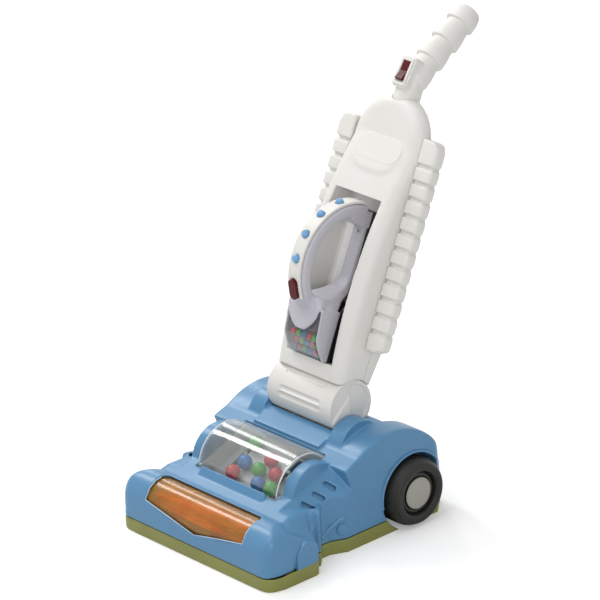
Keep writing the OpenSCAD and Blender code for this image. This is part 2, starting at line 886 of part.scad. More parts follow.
module wheel_hub(side) color(near_black) on_wheel(side) difference() {
    union() {
        translate([axle_r + seat_gap, hub_recess])
            square([tyre_inner_r - axle_r - 2 * seat_gap, hub_wall + cap_stem_len]);
        translate([axle_r + seat_gap, hub_recess]) square([hub_boss_r - axle_r, wheel_w - hub_recess]);
        translate([tyre_inner_r - seat_gap - hub_wall, hub_recess])
            square([hub_wall, wheel_w - 2 * hub_recess]);
    }
    translate([0, hub_recess - over]) square([cap_stem_r + seat_gap, cap_stem_len + over]);
}

module hub_cap(side) color(cap_grey) on_wheel(side) {
    translate([0, hub_recess - seat_gap - cap_t]) square([cap_r, cap_t]);
    square_low = hub_recess - seat_gap - over;
    translate([0, square_low]) square([cap_stem_r, cap_stem_len - seat_gap + over]);
}

module popper_shaft() color(steel) on_popper()
    rod_x(popper_r, -beater_belt_x - pulley_w, drive_belt_x + pulley_w);

module popper_paddles() color(cap_grey) on_popper() for (s = paddle_shares)
    translate([s * chamber_half_w, 0, 0]) difference() {
        union() {
            rod_x(paddle_hub_r, -paddle_w / 2, paddle_w / 2);
            for (i = [0:paddle_count - 1]) rotate([i * 360 / paddle_count, 0, 0])
                translate([-paddle_w / 2, -paddle_t / 2, popper_r + over])
                    cube([paddle_w, paddle_t, paddle_r - popper_r - 2 * over]);
        }
        rod_x(popper_r + seat_gap, -paddle_w, paddle_w);
    }

module popper_pulleys() color(cap_grey) on_popper() {
    pulley(drive_belt_x, popper_r + seat_gap);
    pulley(-beater_belt_x, popper_r + seat_gap);
}

module beater_roller() color(toy_red) at_nose() {
    along_x(beater_half) union() {
        circle(beater_core_r);
        for (i = [0:beater_flutes - 1]) rotate(i * 360 / beater_flutes)
            translate([0, beater_r - beater_flute_r]) circle(beater_flute_r);
    }
    rod_x(journal_r, -beater_belt_x - pulley_w / 2, bearing_x + bearing_t + over);
}

module beater_pulley() color(cap_grey) at_nose() pulley(-beater_belt_x, journal_r + seat_gap);

module balls(shares) on_deck() for (p = shares)
    translate([p[0] * chamber_half_w, dome_y + p[1] * chamber_half_l, ball_r + move_gap - chamber_depth])
        sphere(ball_r);

module red_balls() color(toy_red) balls(red_shares);
module green_balls() color(toy_green) balls(green_shares);
module blue_balls() color(toy_blue) balls(blue_shares);

// The upright's outline from the front, drawn as [x, s]
module upright_outline(t) {
    translate([t - half_upright, upright_low + t]) square([upright_w - 2 * t, crown_s - upright_low - t]);
    translate([0, crown_s]) circle(half_upright - t);
}

// A rounded bar across the upright's front, swept round the bulge's centre
module bulge(t) translate([0, bulge_r - bulge_n, bulge_s]) rotate([0, 90, 0]) rotate_extrude($fn = fine_fn) {
    depth = bulge_r / 4;
    translate([bulge_r - depth, t - half_upright]) square([depth - edge_r, upright_w - 2 * t]);
    translate([bulge_r - edge_r - over, edge_r - half_upright])
        square([edge_r + over - t, upright_w - 2 * edge_r]);
    for (side = [-1, 1])
        translate([bulge_r - edge_r, side * (half_upright - edge_r)]) circle(edge_r - t);
}

// The round-edged disc at the upright's top
module crown(t) translate([0, 0, crown_s]) rotate([90, 0, 0]) rotate_extrude() {
    square([half_upright - crown_edge_r, crown_face_n - t]);
    square([half_upright - t, crown_face_n - crown_edge_r]);
    translate([half_upright - crown_edge_r, crown_face_n - crown_edge_r]) intersection() {
        circle(crown_edge_r - t);
        square(crown_edge_r);
    }
}

module front_form(t) {
    intersection() {
        along_y(-2 * bulge_n, 0) upright_outline(t);
        bulge(t);
        translate([-far, -far, -far]) cube([2 * far, 2 * far, far + crown_s]);
    }
    crown(t);
}

module niche(t) translate([-niche_w / 2 - t, -far, niche_low - t])
    cube([niche_w + 2 * t, far + t - upright_wall, niche_high - niche_low + 2 * t]);

module drum_space(grow) translate([0, -drum_n, drum_s]) rod_x(drum_r + grow, -far, far);
module neck_space() translate([0, 0, neck_low]) cylinder(r = neck_r + seat_gap, h = far);

module upright_post_places() for (x = [-upright_post_x, upright_post_x], s = upright_post_s)
    translate([x, 0, s]) children();

module badge_plate(r, low, high) translate([0, -badge_n, badge_s]) rotate([90 - badge_tilt, 0, 0])
    translate([0, 0, low]) linear_extrude(high - low) stadium(r, badge_half);

module upright_front() color(off_white) on_upright() difference() {
    union() {
        difference() {
            front_form(0);
            difference() {
                front_form(upright_wall);
                niche(upright_wall);
            }
        }
        badge_plate(badge_r, -upright_wall / 2, badge_h);
        intersection() {
            upright_post_places() rotate([90, 0, 0]) translate([0, 0, seat_gap])
                cylinder(r = post_r, h = far);
            front_form(upright_wall / 2);
        }
    }
    niche(0);
    badge_plate(badge_border, badge_h - badge_recess, badge_h + over);
    drum_space(seat_gap);
    neck_space();
    upright_post_places() rotate([90, 0, 0]) translate([0, 0, -over])
        cylinder(r = screw_r + seat_gap, h = upright_screw_len - back_n + 2 * over);
}

// One rib, or the thin web between the ribs, from s0 upwards, on the right-hand side
module rib(s0, h) translate([0, 0, s0]) linear_extrude(h) {
    out = rib_span / 2;
    translate([rib_inner, -rib_front_n]) square([out - rib_corner_r - rib_inner, rib_front_n + rib_back_n]);
    translate([rib_inner, rib_corner_r - rib_front_n])
        square([out - rib_inner, rib_front_n + rib_back_n - 2 * rib_corner_r]);
    for (y = [rib_corner_r - rib_front_n, rib_back_n - rib_corner_r])
        translate([out - rib_corner_r, y]) circle(rib_corner_r);
}

module ribs() {
    rib(rib_top - rib_top_h, rib_top_h);
    for (i = [1:rib_count]) rib(rib_top - rib_top_h - i * rib_pitch, rib_h);
    rib(rib_low, rib_low_h);
    translate([half_upright - upright_wall / 2, 0, rib_low])
        cube([upright_wall, rib_back_n, rib_top - rib_low]);
    translate([rib_inner, rib_groove - rib_front_n, rib_low]) cube([
        rib_span / 2 - rib_inner - rib_groove,
        rib_front_n + rib_back_n - rib_groove,
        rib_top - rib_low
    ]);
}

module battery_place() translate([0, 0, box_low]) children();
box_w = cell_count * cell_pitch + 2 * box_wall;
box_h = cell_len + 2 * box_wall + 2 * move_gap;
box_back = back_n - upright_wall - seat_gap;

// The back shell's side view, slanted in at its foot
module back_side(t) along_x(half_upright) polygon([
    [-over, upright_low],
    [foot_n - t, upright_low],
    [back_n - t, foot_s],
    [back_n - t, thin_s],
    [thin_n - t, rib_top],
    [thin_n - t, far],
    [-over, far]
]);

module upright_back() color(off_white) on_upright() difference() {
    union() {
        difference() {
            intersection() {
                along_y(0, back_n) upright_outline(0);
                back_side(0);
            }
            intersection() {
                along_y(-over, back_n - upright_wall) upright_outline(upright_wall);
                back_side(upright_wall);
            }
        }
        for (side = [0, 1]) mirror([side, 0, 0]) ribs();
        upright_post_places() rotate([-90, 0, 0]) cylinder(r = boss_r, h = back_n - upright_wall / 2);
        for (x = [-tongue_screw_x, tongue_screw_x])
            translate([x, tongue_y + tongue_t + seat_gap, tongue_screw_s]) rotate([-90, 0, 0])
                cylinder(r = boss_r, h = back_n - tongue_screw_sunk - tongue_y - tongue_t - seat_gap);
        intersection() {
            union() {
                for (x = [-board_w / 3, board_w / 3]) translate([x, board_t + 2 * board_post, board_s])
                    rotate([-90, 0, 0]) cylinder(r = board_post, h = back_n);
                translate([0, 2 * board_post + speaker_t + seat_gap, speaker_s]) rotate([-90, 0, 0])
                    cylinder(r = speaker_magnet_r, h = back_n);
            }
            back_side(upright_wall / 2);
        }
    }
    drum_space(seat_gap);
    neck_space();
    upright_post_places() rotate([-90, 0, 0]) translate([0, 0, -over]) {
        cylinder(r = screw_r + seat_gap, h = back_n + 2 * over);
        translate([0, 0, back_n + over - screw_sunk - screw_head_h])
            cylinder(r = screw_head_r + seat_gap, h = screw_head_h + screw_sunk + over);
    }
    for (x = [-tongue_screw_x, tongue_screw_x]) translate([x, 0, tongue_screw_s]) rotate([-90, 0, 0]) {
        cylinder(r = screw_r + seat_gap, h = back_n + over);
        translate([0, 0, back_n - tongue_screw_sunk - screw_head_h])
            cylinder(r = screw_head_r + seat_gap, h = screw_head_h + tongue_screw_sunk + over);
    }
    frame_gap = door_border + seat_gap;
    battery_place() translate([-box_w / 2 - frame_gap, back_n - upright_wall - over, -frame_gap])
        cube([box_w + 2 * frame_gap, upright_wall + 2 * over, box_h + 2 * frame_gap]);
}

module hinge_drum() color(off_white) on_upright() difference() {
    union() {
        difference() {
            translate([0, -drum_n, drum_s]) rod_x(drum_r, -drum_w / 2, drum_w / 2);
            hollow_half = drum_w / 2 - drum_wall - end_recess;
            translate([0, -drum_n, drum_s]) rod_x(drum_r - drum_wall, -hollow_half, hollow_half);
            for (side = [0, 1]) mirror([side, 0, 0])
                translate([drum_w / 2 - end_recess, -drum_n, drum_s]) difference() {
                    rod_x(end_recess_r, 0, 2 * end_recess);
                    rotate([wedge_angle, 0, 0]) translate([-over, -far, 0])
                        cube([4 * end_recess, 2 * far, far]);
                }
        }
        rod_x(knuckle_r, -drum_w / 2, drum_w / 2);
        translate([-tongue_w / 2, tongue_y, drum_s + drum_r - 2 * drum_wall])
            cube([tongue_w, tongue_t, tongue_top - drum_s - drum_r + 2 * drum_wall]);
    }
    rod_x(hinge_pin_r + run_gap, -drum_w, drum_w);
    for (a = groove_angles) translate([0, -drum_n, drum_s]) rotate([a, 0, 0])
        translate([-groove_w / 2, -drum_r - over, -groove_h / 2])
            cube([groove_w, groove_deep + over, groove_h]);
    for (x = [-tongue_screw_x, tongue_screw_x]) translate([x, 0, tongue_screw_s]) rotate([-90, 0, 0])
        cylinder(r = screw_r + seat_gap, h = back_n);
}

// One tapered segment of the grip, wide at its lower end
module grip_cup(z0) translate([0, 0, z0]) cylinder(r1 = cup_low_r, r2 = cup_high_r, h = cup_len);

grip_end = grip_start + grip_cups * cup_len;

module handle_grip() color(off_white) difference() {
    union() {
        on_upright() {
            translate([0, 0, neck_low]) cylinder(r = neck_r, h = bend_s - neck_low);
            translate([0, 0, bend_s]) sphere(neck_r + bend_proud);
        }
        on_grip() {
            cylinder(r = neck_r, h = grip_start + over);
            for (i = [0:grip_cups - 1]) grip_cup(grip_start + i * cup_len);
            translate([0, 0, grip_end - over]) rotate_extrude() {
                square([cup_high_r - tip_round, tip_round + over]);
                translate([cup_high_r - tip_round, over]) intersection() {
                    circle(tip_round);
                    square(tip_round);
                }
            }
        }
        on_switch() translate([-switch_w / 2, 0, -switch_len / 2]) cube([switch_w, switch_deep, switch_len]);
    }
    on_upright() translate([0, 0, neck_low - over]) cylinder(r = grip_bore, h = bend_s - neck_low + 3 * over);
    on_grip() cylinder(r = grip_bore, h = grip_end - tip_round);
    on_switch() translate([-bezel_w / 2 - seat_gap, -over, -bezel_len / 2 - seat_gap])
        cube([bezel_w + 2 * seat_gap, switch_deep + over, bezel_len + 2 * seat_gap]);
}

module switch_bezel() color(off_white) on_switch() difference() {
    translate([-bezel_w / 2, -bezel_out, -bezel_len / 2]) cube([bezel_w, bezel_out + bezel_deep, bezel_len]);
    translate([-bezel_hole_w / 2, -bezel_out - over, -bezel_hole_len / 2])
        cube([bezel_hole_w, bezel_out + bezel_deep + 2 * over, bezel_hole_len]);
    bore_end = rocker_pin_end + run_gap;
    translate([0, rocker_pin_y, 0]) rod_x(rocker_pin_r + run_gap, -bore_end, bore_end);
}

module rocker_switch() color(maroon) on_switch()
    translate([0, rocker_pin_y, 0]) rotate([-rocker_rest, 0, 0]) {
        along_x(rocker_w / 2) polygon([
            [-rocker_pin_y - rocker_mid, 0],
            [-rocker_pin_y - rocker_rise, rocker_len / 2],
            [0, rocker_len / 2],
            [rocker_deep - rocker_pin_y, 0],
            [0, -rocker_len / 2],
            [-rocker_pin_y - rocker_rise, -rocker_len / 2]
        ]);
        rod_x(rocker_pin_r, -rocker_pin_end, rocker_pin_end);
    }

module battery_box() color(near_black) on_upright() battery_place() difference() {
    translate([-box_w / 2, box_floor_y, 0]) cube([box_w, box_back - box_floor_y, box_h]);
    translate([box_wall - box_w / 2, box_floor_y + box_wall, box_wall])
        cube([box_w - 2 * box_wall, back_n, box_h - 2 * box_wall]);
}

module batteries() color(steel) on_upright() battery_place() for (i = [0:cell_count - 1])
    translate([
        (i - (cell_count - 1) / 2) * cell_pitch,
        box_floor_y + box_wall + cell_r + seat_gap,
        box_wall + move_gap
    ]) cylinder(r = cell_r, h = cell_len);

module battery_door() color(off_white) on_upright() battery_place() difference() {
    translate([-box_w / 2 - door_border, back_n - upright_wall, -door_border])
        cube([box_w + 2 * door_border, upright_wall, box_h + 2 * door_border]);
    translate([0, back_n - screw_head_h, box_h + door_border / 2]) rotate([-90, 0, 0])
        cylinder(r = screw_r + seat_gap, h = 2 * screw_head_h);
}

module door_screw() color(steel) on_upright() battery_place()
    translate([0, back_n, box_h + door_border / 2]) rotate([90, 0, 0])
        cylinder(r = screw_r, h = screw_head_h - seat_gap);

module speaker() color(near_black) on_upright()
    translate([0, 2 * board_post + speaker_t, speaker_s]) rotate([90, 0, 0]) {
        cylinder(r = speaker_r, h = speaker_t / 2);
        cylinder(r = speaker_magnet_r, h = speaker_t);
    }

module sound_board() color(toy_green) on_upright()
    translate([-board_w / 2, 2 * board_post - seat_gap, board_s - board_h / 2])
        cube([board_w, board_t, board_h]);

module upright_screws() color(steel) on_upright() {
    upright_post_places() translate([0, back_n - screw_sunk, 0]) rotate([90, 0, 0])
        screw(upright_screw_len - screw_sunk - screw_head_h);
    for (x = [-tongue_screw_x, tongue_screw_x])
        translate([x, back_n - tongue_screw_sunk, tongue_screw_s]) rotate([90, 0, 0])
            screw(back_n - tongue_screw_sunk - screw_head_h - tongue_y - over);
}

// Side views of the hand vacuum are drawn as [-n, s]
module cup_outline(t) polygon([
    [-cup_back_n - t, vac_low + t],
    [-cup_heel_n + t, vac_low + t],
    [-cup_toe_n + t, cup_toe_s],
    [-cup_mid_n + t, cup_mid_s],
    [-cup_front_n + t, cup_top_s],
    [-cup_back_n - t, cup_top_s]
]);

module vac_screw_places() for (s = vac_screw_s) translate([0, 0, s]) rotate([90, 0, 0]) children();

// The black tub and the keel above it, drawn in by t
module vac_back_form(t) {
    translate([t - vac_back_w / 2, -tub_n, vac_low + t])
        cube([vac_back_w - 2 * t, tub_n - vac_back_n - t, tub_top_s - vac_low - 2 * t]);
    translate([t - keel_w / 2, -keel_n, tub_top_s - 2 * over - t])
        cube([keel_w - 2 * t, keel_n - vac_back_n - t, vac_high - tub_top_s + 2 * over]);
}

module hand_vac_back() color(near_black) on_upright() difference() {
    union() {
        difference() {
            vac_back_form(0);
            translate([0, -over, 0]) vac_back_form(vac_wall);
        }
        vac_screw_places() translate([0, 0, vac_back_n]) cylinder(r = boss_r, h = vac_boss_h);
    }
    vac_screw_places() cylinder(r = screw_r + seat_gap, h = tub_n);
    vac_screw_places() cylinder(r = screw_head_r + seat_gap, h = vac_back_n + screw_sunk + screw_head_h);
}

// The part of the loop that stands clear of the niche, between two radii
module loop_ring(r0, r1) intersection() {
    translate([-loop_n, loop_s]) difference() {
        circle(r1);
        circle(r0);
    }
    translate([-far, loop_low_s]) square([far - loop_low_n, far]);
}

module button_place(i) on_loop(button_angles[i]) children();
module trigger_place() on_loop(trigger_angle) children();
module trigger_outline(r) rotate(90) stadium(r, trigger_half);

module button_pockets() {
    for (i = [0:len(button_angles) - 1]) button_place(i)
        translate([0, 0, loop_r - spine_t - pocket_deep])
            cylinder(r = button_r + button_flange + move_gap, h = pocket_deep + spine_t / 2);
    trigger_place() translate([0, 0, loop_r - spine_t - trigger_pocket])
        linear_extrude(trigger_pocket + spine_t / 2) trigger_outline(trigger_r + button_flange + move_gap);
}

// The grey shell's head over the cup, drawn in by t
module vac_head(t) along_x(cup_w / 2 + vac_panel - t) polygon([
    [-tub_n - seat_gap, cup_top_s + seat_gap + t],
    [-cup_front_n + t, cup_top_s + seat_gap + t],
    [-cup_front_n + t, cup_top_s + head_h - t],
    [-keel_n - seat_gap - strip_t, tub_top_s - t],
    [-tub_n - seat_gap, tub_top_s - t]
]);

module hand_vac_shell() color(cool_grey) difference() {
    on_upright() {
        difference() {
            vac_head(0);
            translate([0, over, 0]) vac_head(vac_wall);
        }
        translate([-cup_w / 2 - vac_panel, seat_gap - cup_back_n, vac_low])
            cube([cup_w + 2 * vac_panel, cup_back_n - tub_n - 2 * seat_gap, cup_top_s - vac_low + vac_wall]);
        for (side = [0, 1]) mirror([side, 0, 0]) translate([(cup_w + vac_panel + seat_gap) / 2, 0, 0])
            along_x((vac_panel - seat_gap) / 2) union() {
                cup_outline(0);
                translate([-cup_back_n - over, vac_low]) square([cup_back_n - tub_n, cup_top_s - vac_low]);
                translate([-cup_front_n, cup_top_s - over]) square([cup_front_n - tub_n, 3 * over]);
            }
        translate([-keel_w / 2, -keel_n - seat_gap - strip_t, tub_top_s + seat_gap])
            cube([keel_w, strip_t, vac_high - tub_top_s - seat_gap]);
        translate([-keel_w / 2, -keel_n - seat_gap - strip_t, tub_top_s - 2 * over])
            cube([keel_w, keel_n + strip_t - tub_n, 3 * over]);
        translate([-top_block_w / 2, -keel_n - seat_gap - top_block_t, vac_high - top_block_h])
            cube([top_block_w, top_block_t, top_block_h]);
        along_x(loop_w / 2) loop_ring(finger_r, loop_r - spine_t - seat_gap);
        along_x(lip_w / 2) polygon([
            [-cup_face(tongue_end_s) - lip_gap, tongue_end_s],
            [-cup_front_n - lip_gap, cup_top_s + seat_gap],
            [-cup_mid_n, cup_top_s + head_h],
            [-lip_knee_n, cup_top_s + head_h],
            [-lip_knee_n, lip_knee_s],
            [-cup_front_n - lip_t - lip_gap, cup_top_s - head_h],
            [-cup_face(tongue_end_s) - lip_t - lip_gap, tongue_end_s]
        ]);
        vac_screw_places() translate([0, 0, vac_back_n + vac_boss_h + seat_gap])
            cylinder(r = post_r, h = tub_n - vac_back_n - vac_boss_h + over);
    }
    button_pockets();
    on_upright() vac_screw_places() cylinder(r = screw_r + seat_gap, h = vac_back_n + vac_screw_len + over);
}

module handle_spine() color(off_white) difference() {
    on_upright() along_x(spine_w / 2) loop_ring(loop_r - spine_t, loop_r);
    for (i = [0:len(button_angles) - 1]) button_place(i) cylinder(r = button_hole_r, h = 2 * loop_r);
    trigger_place() linear_extrude(2 * loop_r) trigger_outline(trigger_r + move_gap);
}

module nozzle_cup() color(clear) on_upright() difference() {
    along_x(cup_w / 2) cup_outline(0);
    along_x(cup_w / 2 - cup_wall) union() {
        cup_outline(cup_wall);
        translate([-cup_front_n + cup_wall, cup_top_s - over])
            square([cup_front_n - cup_back_n - 2 * cup_wall, 2 * over]);
    }
}

module hand_vac_screws() color(steel) on_upright() vac_screw_places()
    translate([0, 0, vac_back_n + screw_sunk]) screw(vac_screw_len - screw_sunk - screw_head_h);

// Beads heaped against the cup's sloping front; one bead in three is of each colour
module beads(which) on_upright() for (
    i = [0:bead_columns - 1], k = [0:bead_layers - 1], j = [0:k]
) if ((i + 2 * j + k) % 3 == which)
    translate([
        (i - (bead_columns - 1) / 2) * bead_pitch,
        -cup_back_n - cup_wall - bead_gap - bead_r - j * bead_pitch,
        vac_low + cup_wall + bead_gap + bead_r + k * bead_pitch
    ]) sphere(bead_r);

module red_beads() color(toy_red) beads(0);
module green_beads() color(toy_green) beads(1);
module blue_beads() color(toy_blue) beads(2);

module trigger_button() color(maroon) trigger_place() {
    top = loop_r - spine_t - move_gap - spine_drop(trigger_half + trigger_r + button_flange);
    translate([0, 0, top - button_flange_t])
        linear_extrude(button_flange_t) trigger_outline(trigger_r + button_flange);
    translate([0, 0, top - over])
        linear_extrude(loop_r + trigger_rise - top + over) trigger_outline(trigger_r);
}

module dome_button(i) color(pale_blue) button_place(i) {
    top = loop_r - spine_t - move_gap - spine_drop(button_r + button_flange);
    translate([0, 0, top - button_flange_t]) cylinder(r = button_r + button_flange, h = button_flange_t);
    translate([0, 0, top - over]) cylinder(r = button_r, h = loop_r + over - top);
    translate([0, 0, loop_r]) intersection() {
        sphere(button_r);
        cylinder(r = 2 * button_r, h = button_rise);
    }
}

base_tray();
hood();
roller_window();
ball_dome();
ball_tray();
hinge_pin();
axle_bush(-1);  // left_axle_bush
axle_bush(1);  // right_axle_bush
roller_bearing(-1);  // left_roller_bearing
roller_bearing(1);  // right_roller_bearing
drive_belt();
beater_belt();
base_screws();
chamber_screws();
rear_axle();
tyre(-1);  // left_tyre
tyre(1);  // right_tyre
wheel_hub(-1);  // left_wheel_hub
wheel_hub(1);  // right_wheel_hub
hub_cap(-1);  // left_hub_cap
hub_cap(1);  // right_hub_cap
axle_pulley();
popper_shaft();
popper_paddles();
popper_pulleys();
beater_roller();
beater_pulley();
red_balls();
green_balls();
blue_balls();
upright_front();
upright_back();
hinge_drum();
handle_grip();
switch_bezel();
rocker_switch();
battery_box();
batteries();
battery_door();
door_screw();
speaker();
sound_board();
upright_screws();
hand_vac_back();
hand_vac_shell();
handle_spine();
nozzle_cup();
hand_vac_screws();
red_beads();
green_beads();
blue_beads();
trigger_button();
dome_button(0);  // dome_button_1
dome_button(1);  // dome_button_2
dome_button(2);  // dome_button_3
dome_button(3);  // dome_button_4
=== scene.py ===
import json
import math
from contextlib import contextmanager

import bmesh
import bpy
import numpy as np
from mathutils import Matrix, Vector


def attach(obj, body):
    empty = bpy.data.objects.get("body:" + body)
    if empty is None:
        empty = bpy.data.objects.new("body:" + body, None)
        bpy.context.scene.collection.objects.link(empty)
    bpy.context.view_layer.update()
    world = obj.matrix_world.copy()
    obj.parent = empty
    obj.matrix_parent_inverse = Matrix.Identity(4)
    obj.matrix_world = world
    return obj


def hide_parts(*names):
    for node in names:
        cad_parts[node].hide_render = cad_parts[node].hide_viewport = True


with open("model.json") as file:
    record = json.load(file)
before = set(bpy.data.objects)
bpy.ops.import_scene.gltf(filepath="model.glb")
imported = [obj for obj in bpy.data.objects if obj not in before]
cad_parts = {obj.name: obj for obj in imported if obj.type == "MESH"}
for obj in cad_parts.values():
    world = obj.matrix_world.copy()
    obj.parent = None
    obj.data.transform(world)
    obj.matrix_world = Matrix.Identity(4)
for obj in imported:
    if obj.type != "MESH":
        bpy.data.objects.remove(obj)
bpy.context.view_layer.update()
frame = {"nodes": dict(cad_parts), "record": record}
nodes = frame["nodes"]
scene = bpy.context.scene
MM = 0.001

# Places shared with the solids, in millimetres
LEAN = math.radians(24)
HINGE = (-46.0, 98.0)
SLOPE = math.radians(21.3)
DECK = (-120.5, 88.82)
AXLE_Z = 39.5
WHEEL_FACE = 121
HALF_FRONT = 125
BUMPER_BACK = 150
NOSE = (-201.5, 38.5)
# Places in the deck's frame (y, z) and in the upright's (n, s, or s alone)
DOME = (-7.4, -18.9)
DRUM = (7.2, 38.4)
LOOP = (29, 187)
BADGE_S = 319
BEND_S = 398

SIDES = ((-1, "left"), (1, "right"))
ACROSS = Vector((1, 0, 0))
DIAGONAL = math.sqrt(0.5)


def on_upright(x, n, s):
    """A point of the upright: x across, n forwards from the hinge pin, s up along the lean."""
    y = HINGE[0] - n * math.cos(LEAN) + s * math.sin(LEAN)
    z = HINGE[1] + n * math.sin(LEAN) + s * math.cos(LEAN)
    return Vector((x, y, z)) * MM


def on_deck(x, y, z):
    """A point of the deck's own sloping frame."""
    yy = DECK[0] + y * math.cos(SLOPE) - z * math.sin(SLOPE)
    zz = DECK[1] + y * math.sin(SLOPE) + z * math.cos(SLOPE)
    return Vector((x, yy, zz)) * MM


def upright_place(x, y, z):
    """The upright's own x, n and s of places in millimetres."""
    y, z = y - HINGE[0], z - HINGE[1]
    return x, z * math.sin(LEAN) - y * math.cos(LEAN), y * math.sin(LEAN) + z * math.cos(LEAN)


def upright_back(x, n, s):
    """Places in millimetres, as rows, of the upright's own x, n and s."""
    y = HINGE[0] - n * math.cos(LEAN) + s * math.sin(LEAN)
    z = HINGE[1] + n * math.sin(LEAN) + s * math.cos(LEAN)
    return np.stack([x, y, z], 1)


# Materials
def socket(node, name, value):
    node.inputs[name].default_value = value


def rgb(hexa):
    """A colour written as it looks on screen, as linear numbers."""
    parts = [int(hexa[i:i + 2], 16) / 255 for i in (0, 2, 4)]
    linear = [c / 12.92 if c <= 0.04045 else ((c + 0.055) / 1.055) ** 2.4 for c in parts]
    return (*linear, 1.0)


class Look:
    """A material under construction: its tree, its Principled shader and its object coordinates."""

    def __init__(self, name):
        self.mat = bpy.data.materials.new(name)
        self.mat.use_nodes = True
        self.tree = self.mat.node_tree
        self.tree.nodes.clear()
        self.out = self.add("ShaderNodeOutputMaterial")
        self.bsdf = self.add("ShaderNodeBsdfPrincipled")
        self.link(self.bsdf.outputs[0], self.out.inputs[0])
        self.place = self.add("ShaderNodeTexCoord").outputs["Object"]

    def add(self, kind):
        return self.tree.nodes.new(kind)

    def link(self, a, b):
        self.tree.links.new(a, b)

    def feed(self, name, value):
        self.link(value, self.bsdf.inputs[name])

    def maths(self, operation, a, b):
        node = self.add("ShaderNodeMath")
        node.operation = operation
        for slot, v in enumerate((a, b)):
            if isinstance(v, float):
                node.inputs[slot].default_value = v
            else:
                self.link(v, node.inputs[slot])
        return node.outputs[0]

    def noise(self, scale, detail=3.0, rough=0.5, stretch=None):
        tex = self.add("ShaderNodeTexNoise")
        socket(tex, "Scale", scale)
        socket(tex, "Detail", detail)
        socket(tex, "Roughness", rough)
        where = self.place
        if stretch:
            turn = self.add("ShaderNodeMapping")
            socket(turn, "Scale", stretch)
            self.link(where, turn.inputs["Vector"])
            where = turn.outputs[0]
        self.link(where, tex.inputs["Vector"])
        return tex.outputs["Fac"]

    def spread(self, value, low, high, to_low=0.0, to_high=1.0):
        node = self.add("ShaderNodeMapRange")
        limits = {"From Min": low, "From Max": high, "To Min": to_low, "To Max": to_high}
        for name, v in limits.items():
            socket(node, name, v)
        self.link(value, node.inputs["Value"])
        return node.outputs[0]

    def mix(self, fac, a, b):
        node = self.add("ShaderNodeMix")
        node.data_type = "RGBA"
        self.link(fac, node.inputs[0])
        for slot, v in ((6, a), (7, b)):
            if isinstance(v, tuple):
                node.inputs[slot].default_value = v
            else:
                self.link(v, node.inputs[slot])
        return node.outputs[2]

    def bump(self, height, strength, distance):
        node = self.add("ShaderNodeBump")
        socket(node, "Strength", strength)
        socket(node, "Distance", distance)
        self.link(height, node.inputs["Height"])
        self.feed("Normal", node.outputs[0])

    def edges(self, low, high):
        """Where the surface turns outwards sharply, from 0 to 1."""
        return self.spread(self.add("ShaderNodeNewGeometry").outputs["Pointiness"], low, high)


def plastic(name, base, other, wear_and_highlight, rough=(0.28, 0.40), grain=1100, depth=0.00006, wear_and_highlight_share=0.35,
            spec=0.5):
    """Moulded plastic: slow colour drift, pale edges that are partly scuffs and partly painted
    highlight, uneven gloss and a fine moulded grain.
    """
    look = Look(name)
    drift = look.spread(look.noise(14, 4), 0.35, 0.65)
    colour = look.mix(drift, rgb(base), rgb(other))
    # Pale edges: partly scuffed wear, partly painted highlight along sharp edges.
    edge_breakup = look.spread(look.noise(160, 6, 0.65), 0.45, 0.75, 0.25, 1.0)
    edge = look.maths("MULTIPLY", look.edges(0.53, 0.62), edge_breakup)
    amount = look.spread(edge, 0.0, 1.0, 0.0, wear_and_highlight_share)
    look.feed("Base Color", look.mix(amount, colour, rgb(wear_and_highlight)))
    look.feed("Roughness", look.spread(look.noise(55, 5, 0.6), 0.3, 0.7, *rough))
    socket(look.bsdf, "Specular IOR Level", spec)
    look.bump(look.noise(grain, 2), 0.35, depth)
    return look.mat


def clear_plastic(name, tint, body, body_share, gloss=0.12, gloss_rough=0.05, edge_share=0.45):
    """Thin clear plastic that shows what is behind it, with more gloss and body at a slant."""
    look = Look(name)
    see = look.add("ShaderNodeBsdfTransparent")
    socket(see, "Color", rgb(tint))
    haze = look.noise(60, 4)
    look.feed("Base Color", look.mix(haze, rgb(body), rgb(tint)))
    socket(look.bsdf, "Roughness", 0.3)
    shine = look.add("ShaderNodeBsdfGlossy")
    shine_rough = look.spread(haze, 0.3, 0.7, gloss_rough, gloss_rough * 2)
    look.link(shine_rough, shine.inputs["Roughness"])
    facing = look.add("ShaderNodeLayerWeight")
    socket(facing, "Blend", 0.5)
    slant = look.maths("POWER", facing.outputs["Facing"], 4.0)
    share = look.spread(slant, 0.0, 0.6, body_share, body_share + edge_share)
    solid = look.add("ShaderNodeMixShader")
    look.link(share, solid.inputs[0])
    look.link(see.outputs[0], solid.inputs[1])
    look.link(look.bsdf.outputs[0], solid.inputs[2])
    top = look.add("ShaderNodeMixShader")
    look.link(look.spread(slant, 0.0, 1.0, gloss, 0.9), top.inputs[0])
    look.link(solid.outputs[0], top.inputs[1])
    look.link(shine.outputs[0], top.inputs[2])
    look.link(top.outputs[0], look.out.inputs[0])
    return look.mat


def metal(name, base, other, rough=(0.22, 0.38)):
    """Plain metal with fine streaks along X."""
    look = Look(name)
    look.feed("Base Color", look.mix(look.noise(90, 5), rgb(base), rgb(other)))
    socket(look.bsdf, "Metallic", 1.0)
    streaks = look.noise(300, 4, 0.6, (1, 8, 8))
    look.feed("Roughness", look.spread(streaks, 0.3, 0.7, *rough))
    look.bump(look.noise(1500, 2), 0.2, 0.00004)
    return look.mat


def streaked(name, light, dark):
    """Plastic bristle rows: bright and dark streaks that run along the roller; the bright streaks
    are partly painted highlights.
    """
    look = Look(name)
    streak = look.spread(look.noise(90, 4, 0.6, (0.12, 1.0, 1.0)), 0.40, 0.60)
    look.feed("Base Color", look.mix(streak, rgb(dark), rgb(light)))
    look.feed("Roughness", look.spread(look.noise(260, 3), 0.3, 0.7, 0.35, 0.55))
    look.bump(streak, 0.4, 0.0006)
    return look.mat


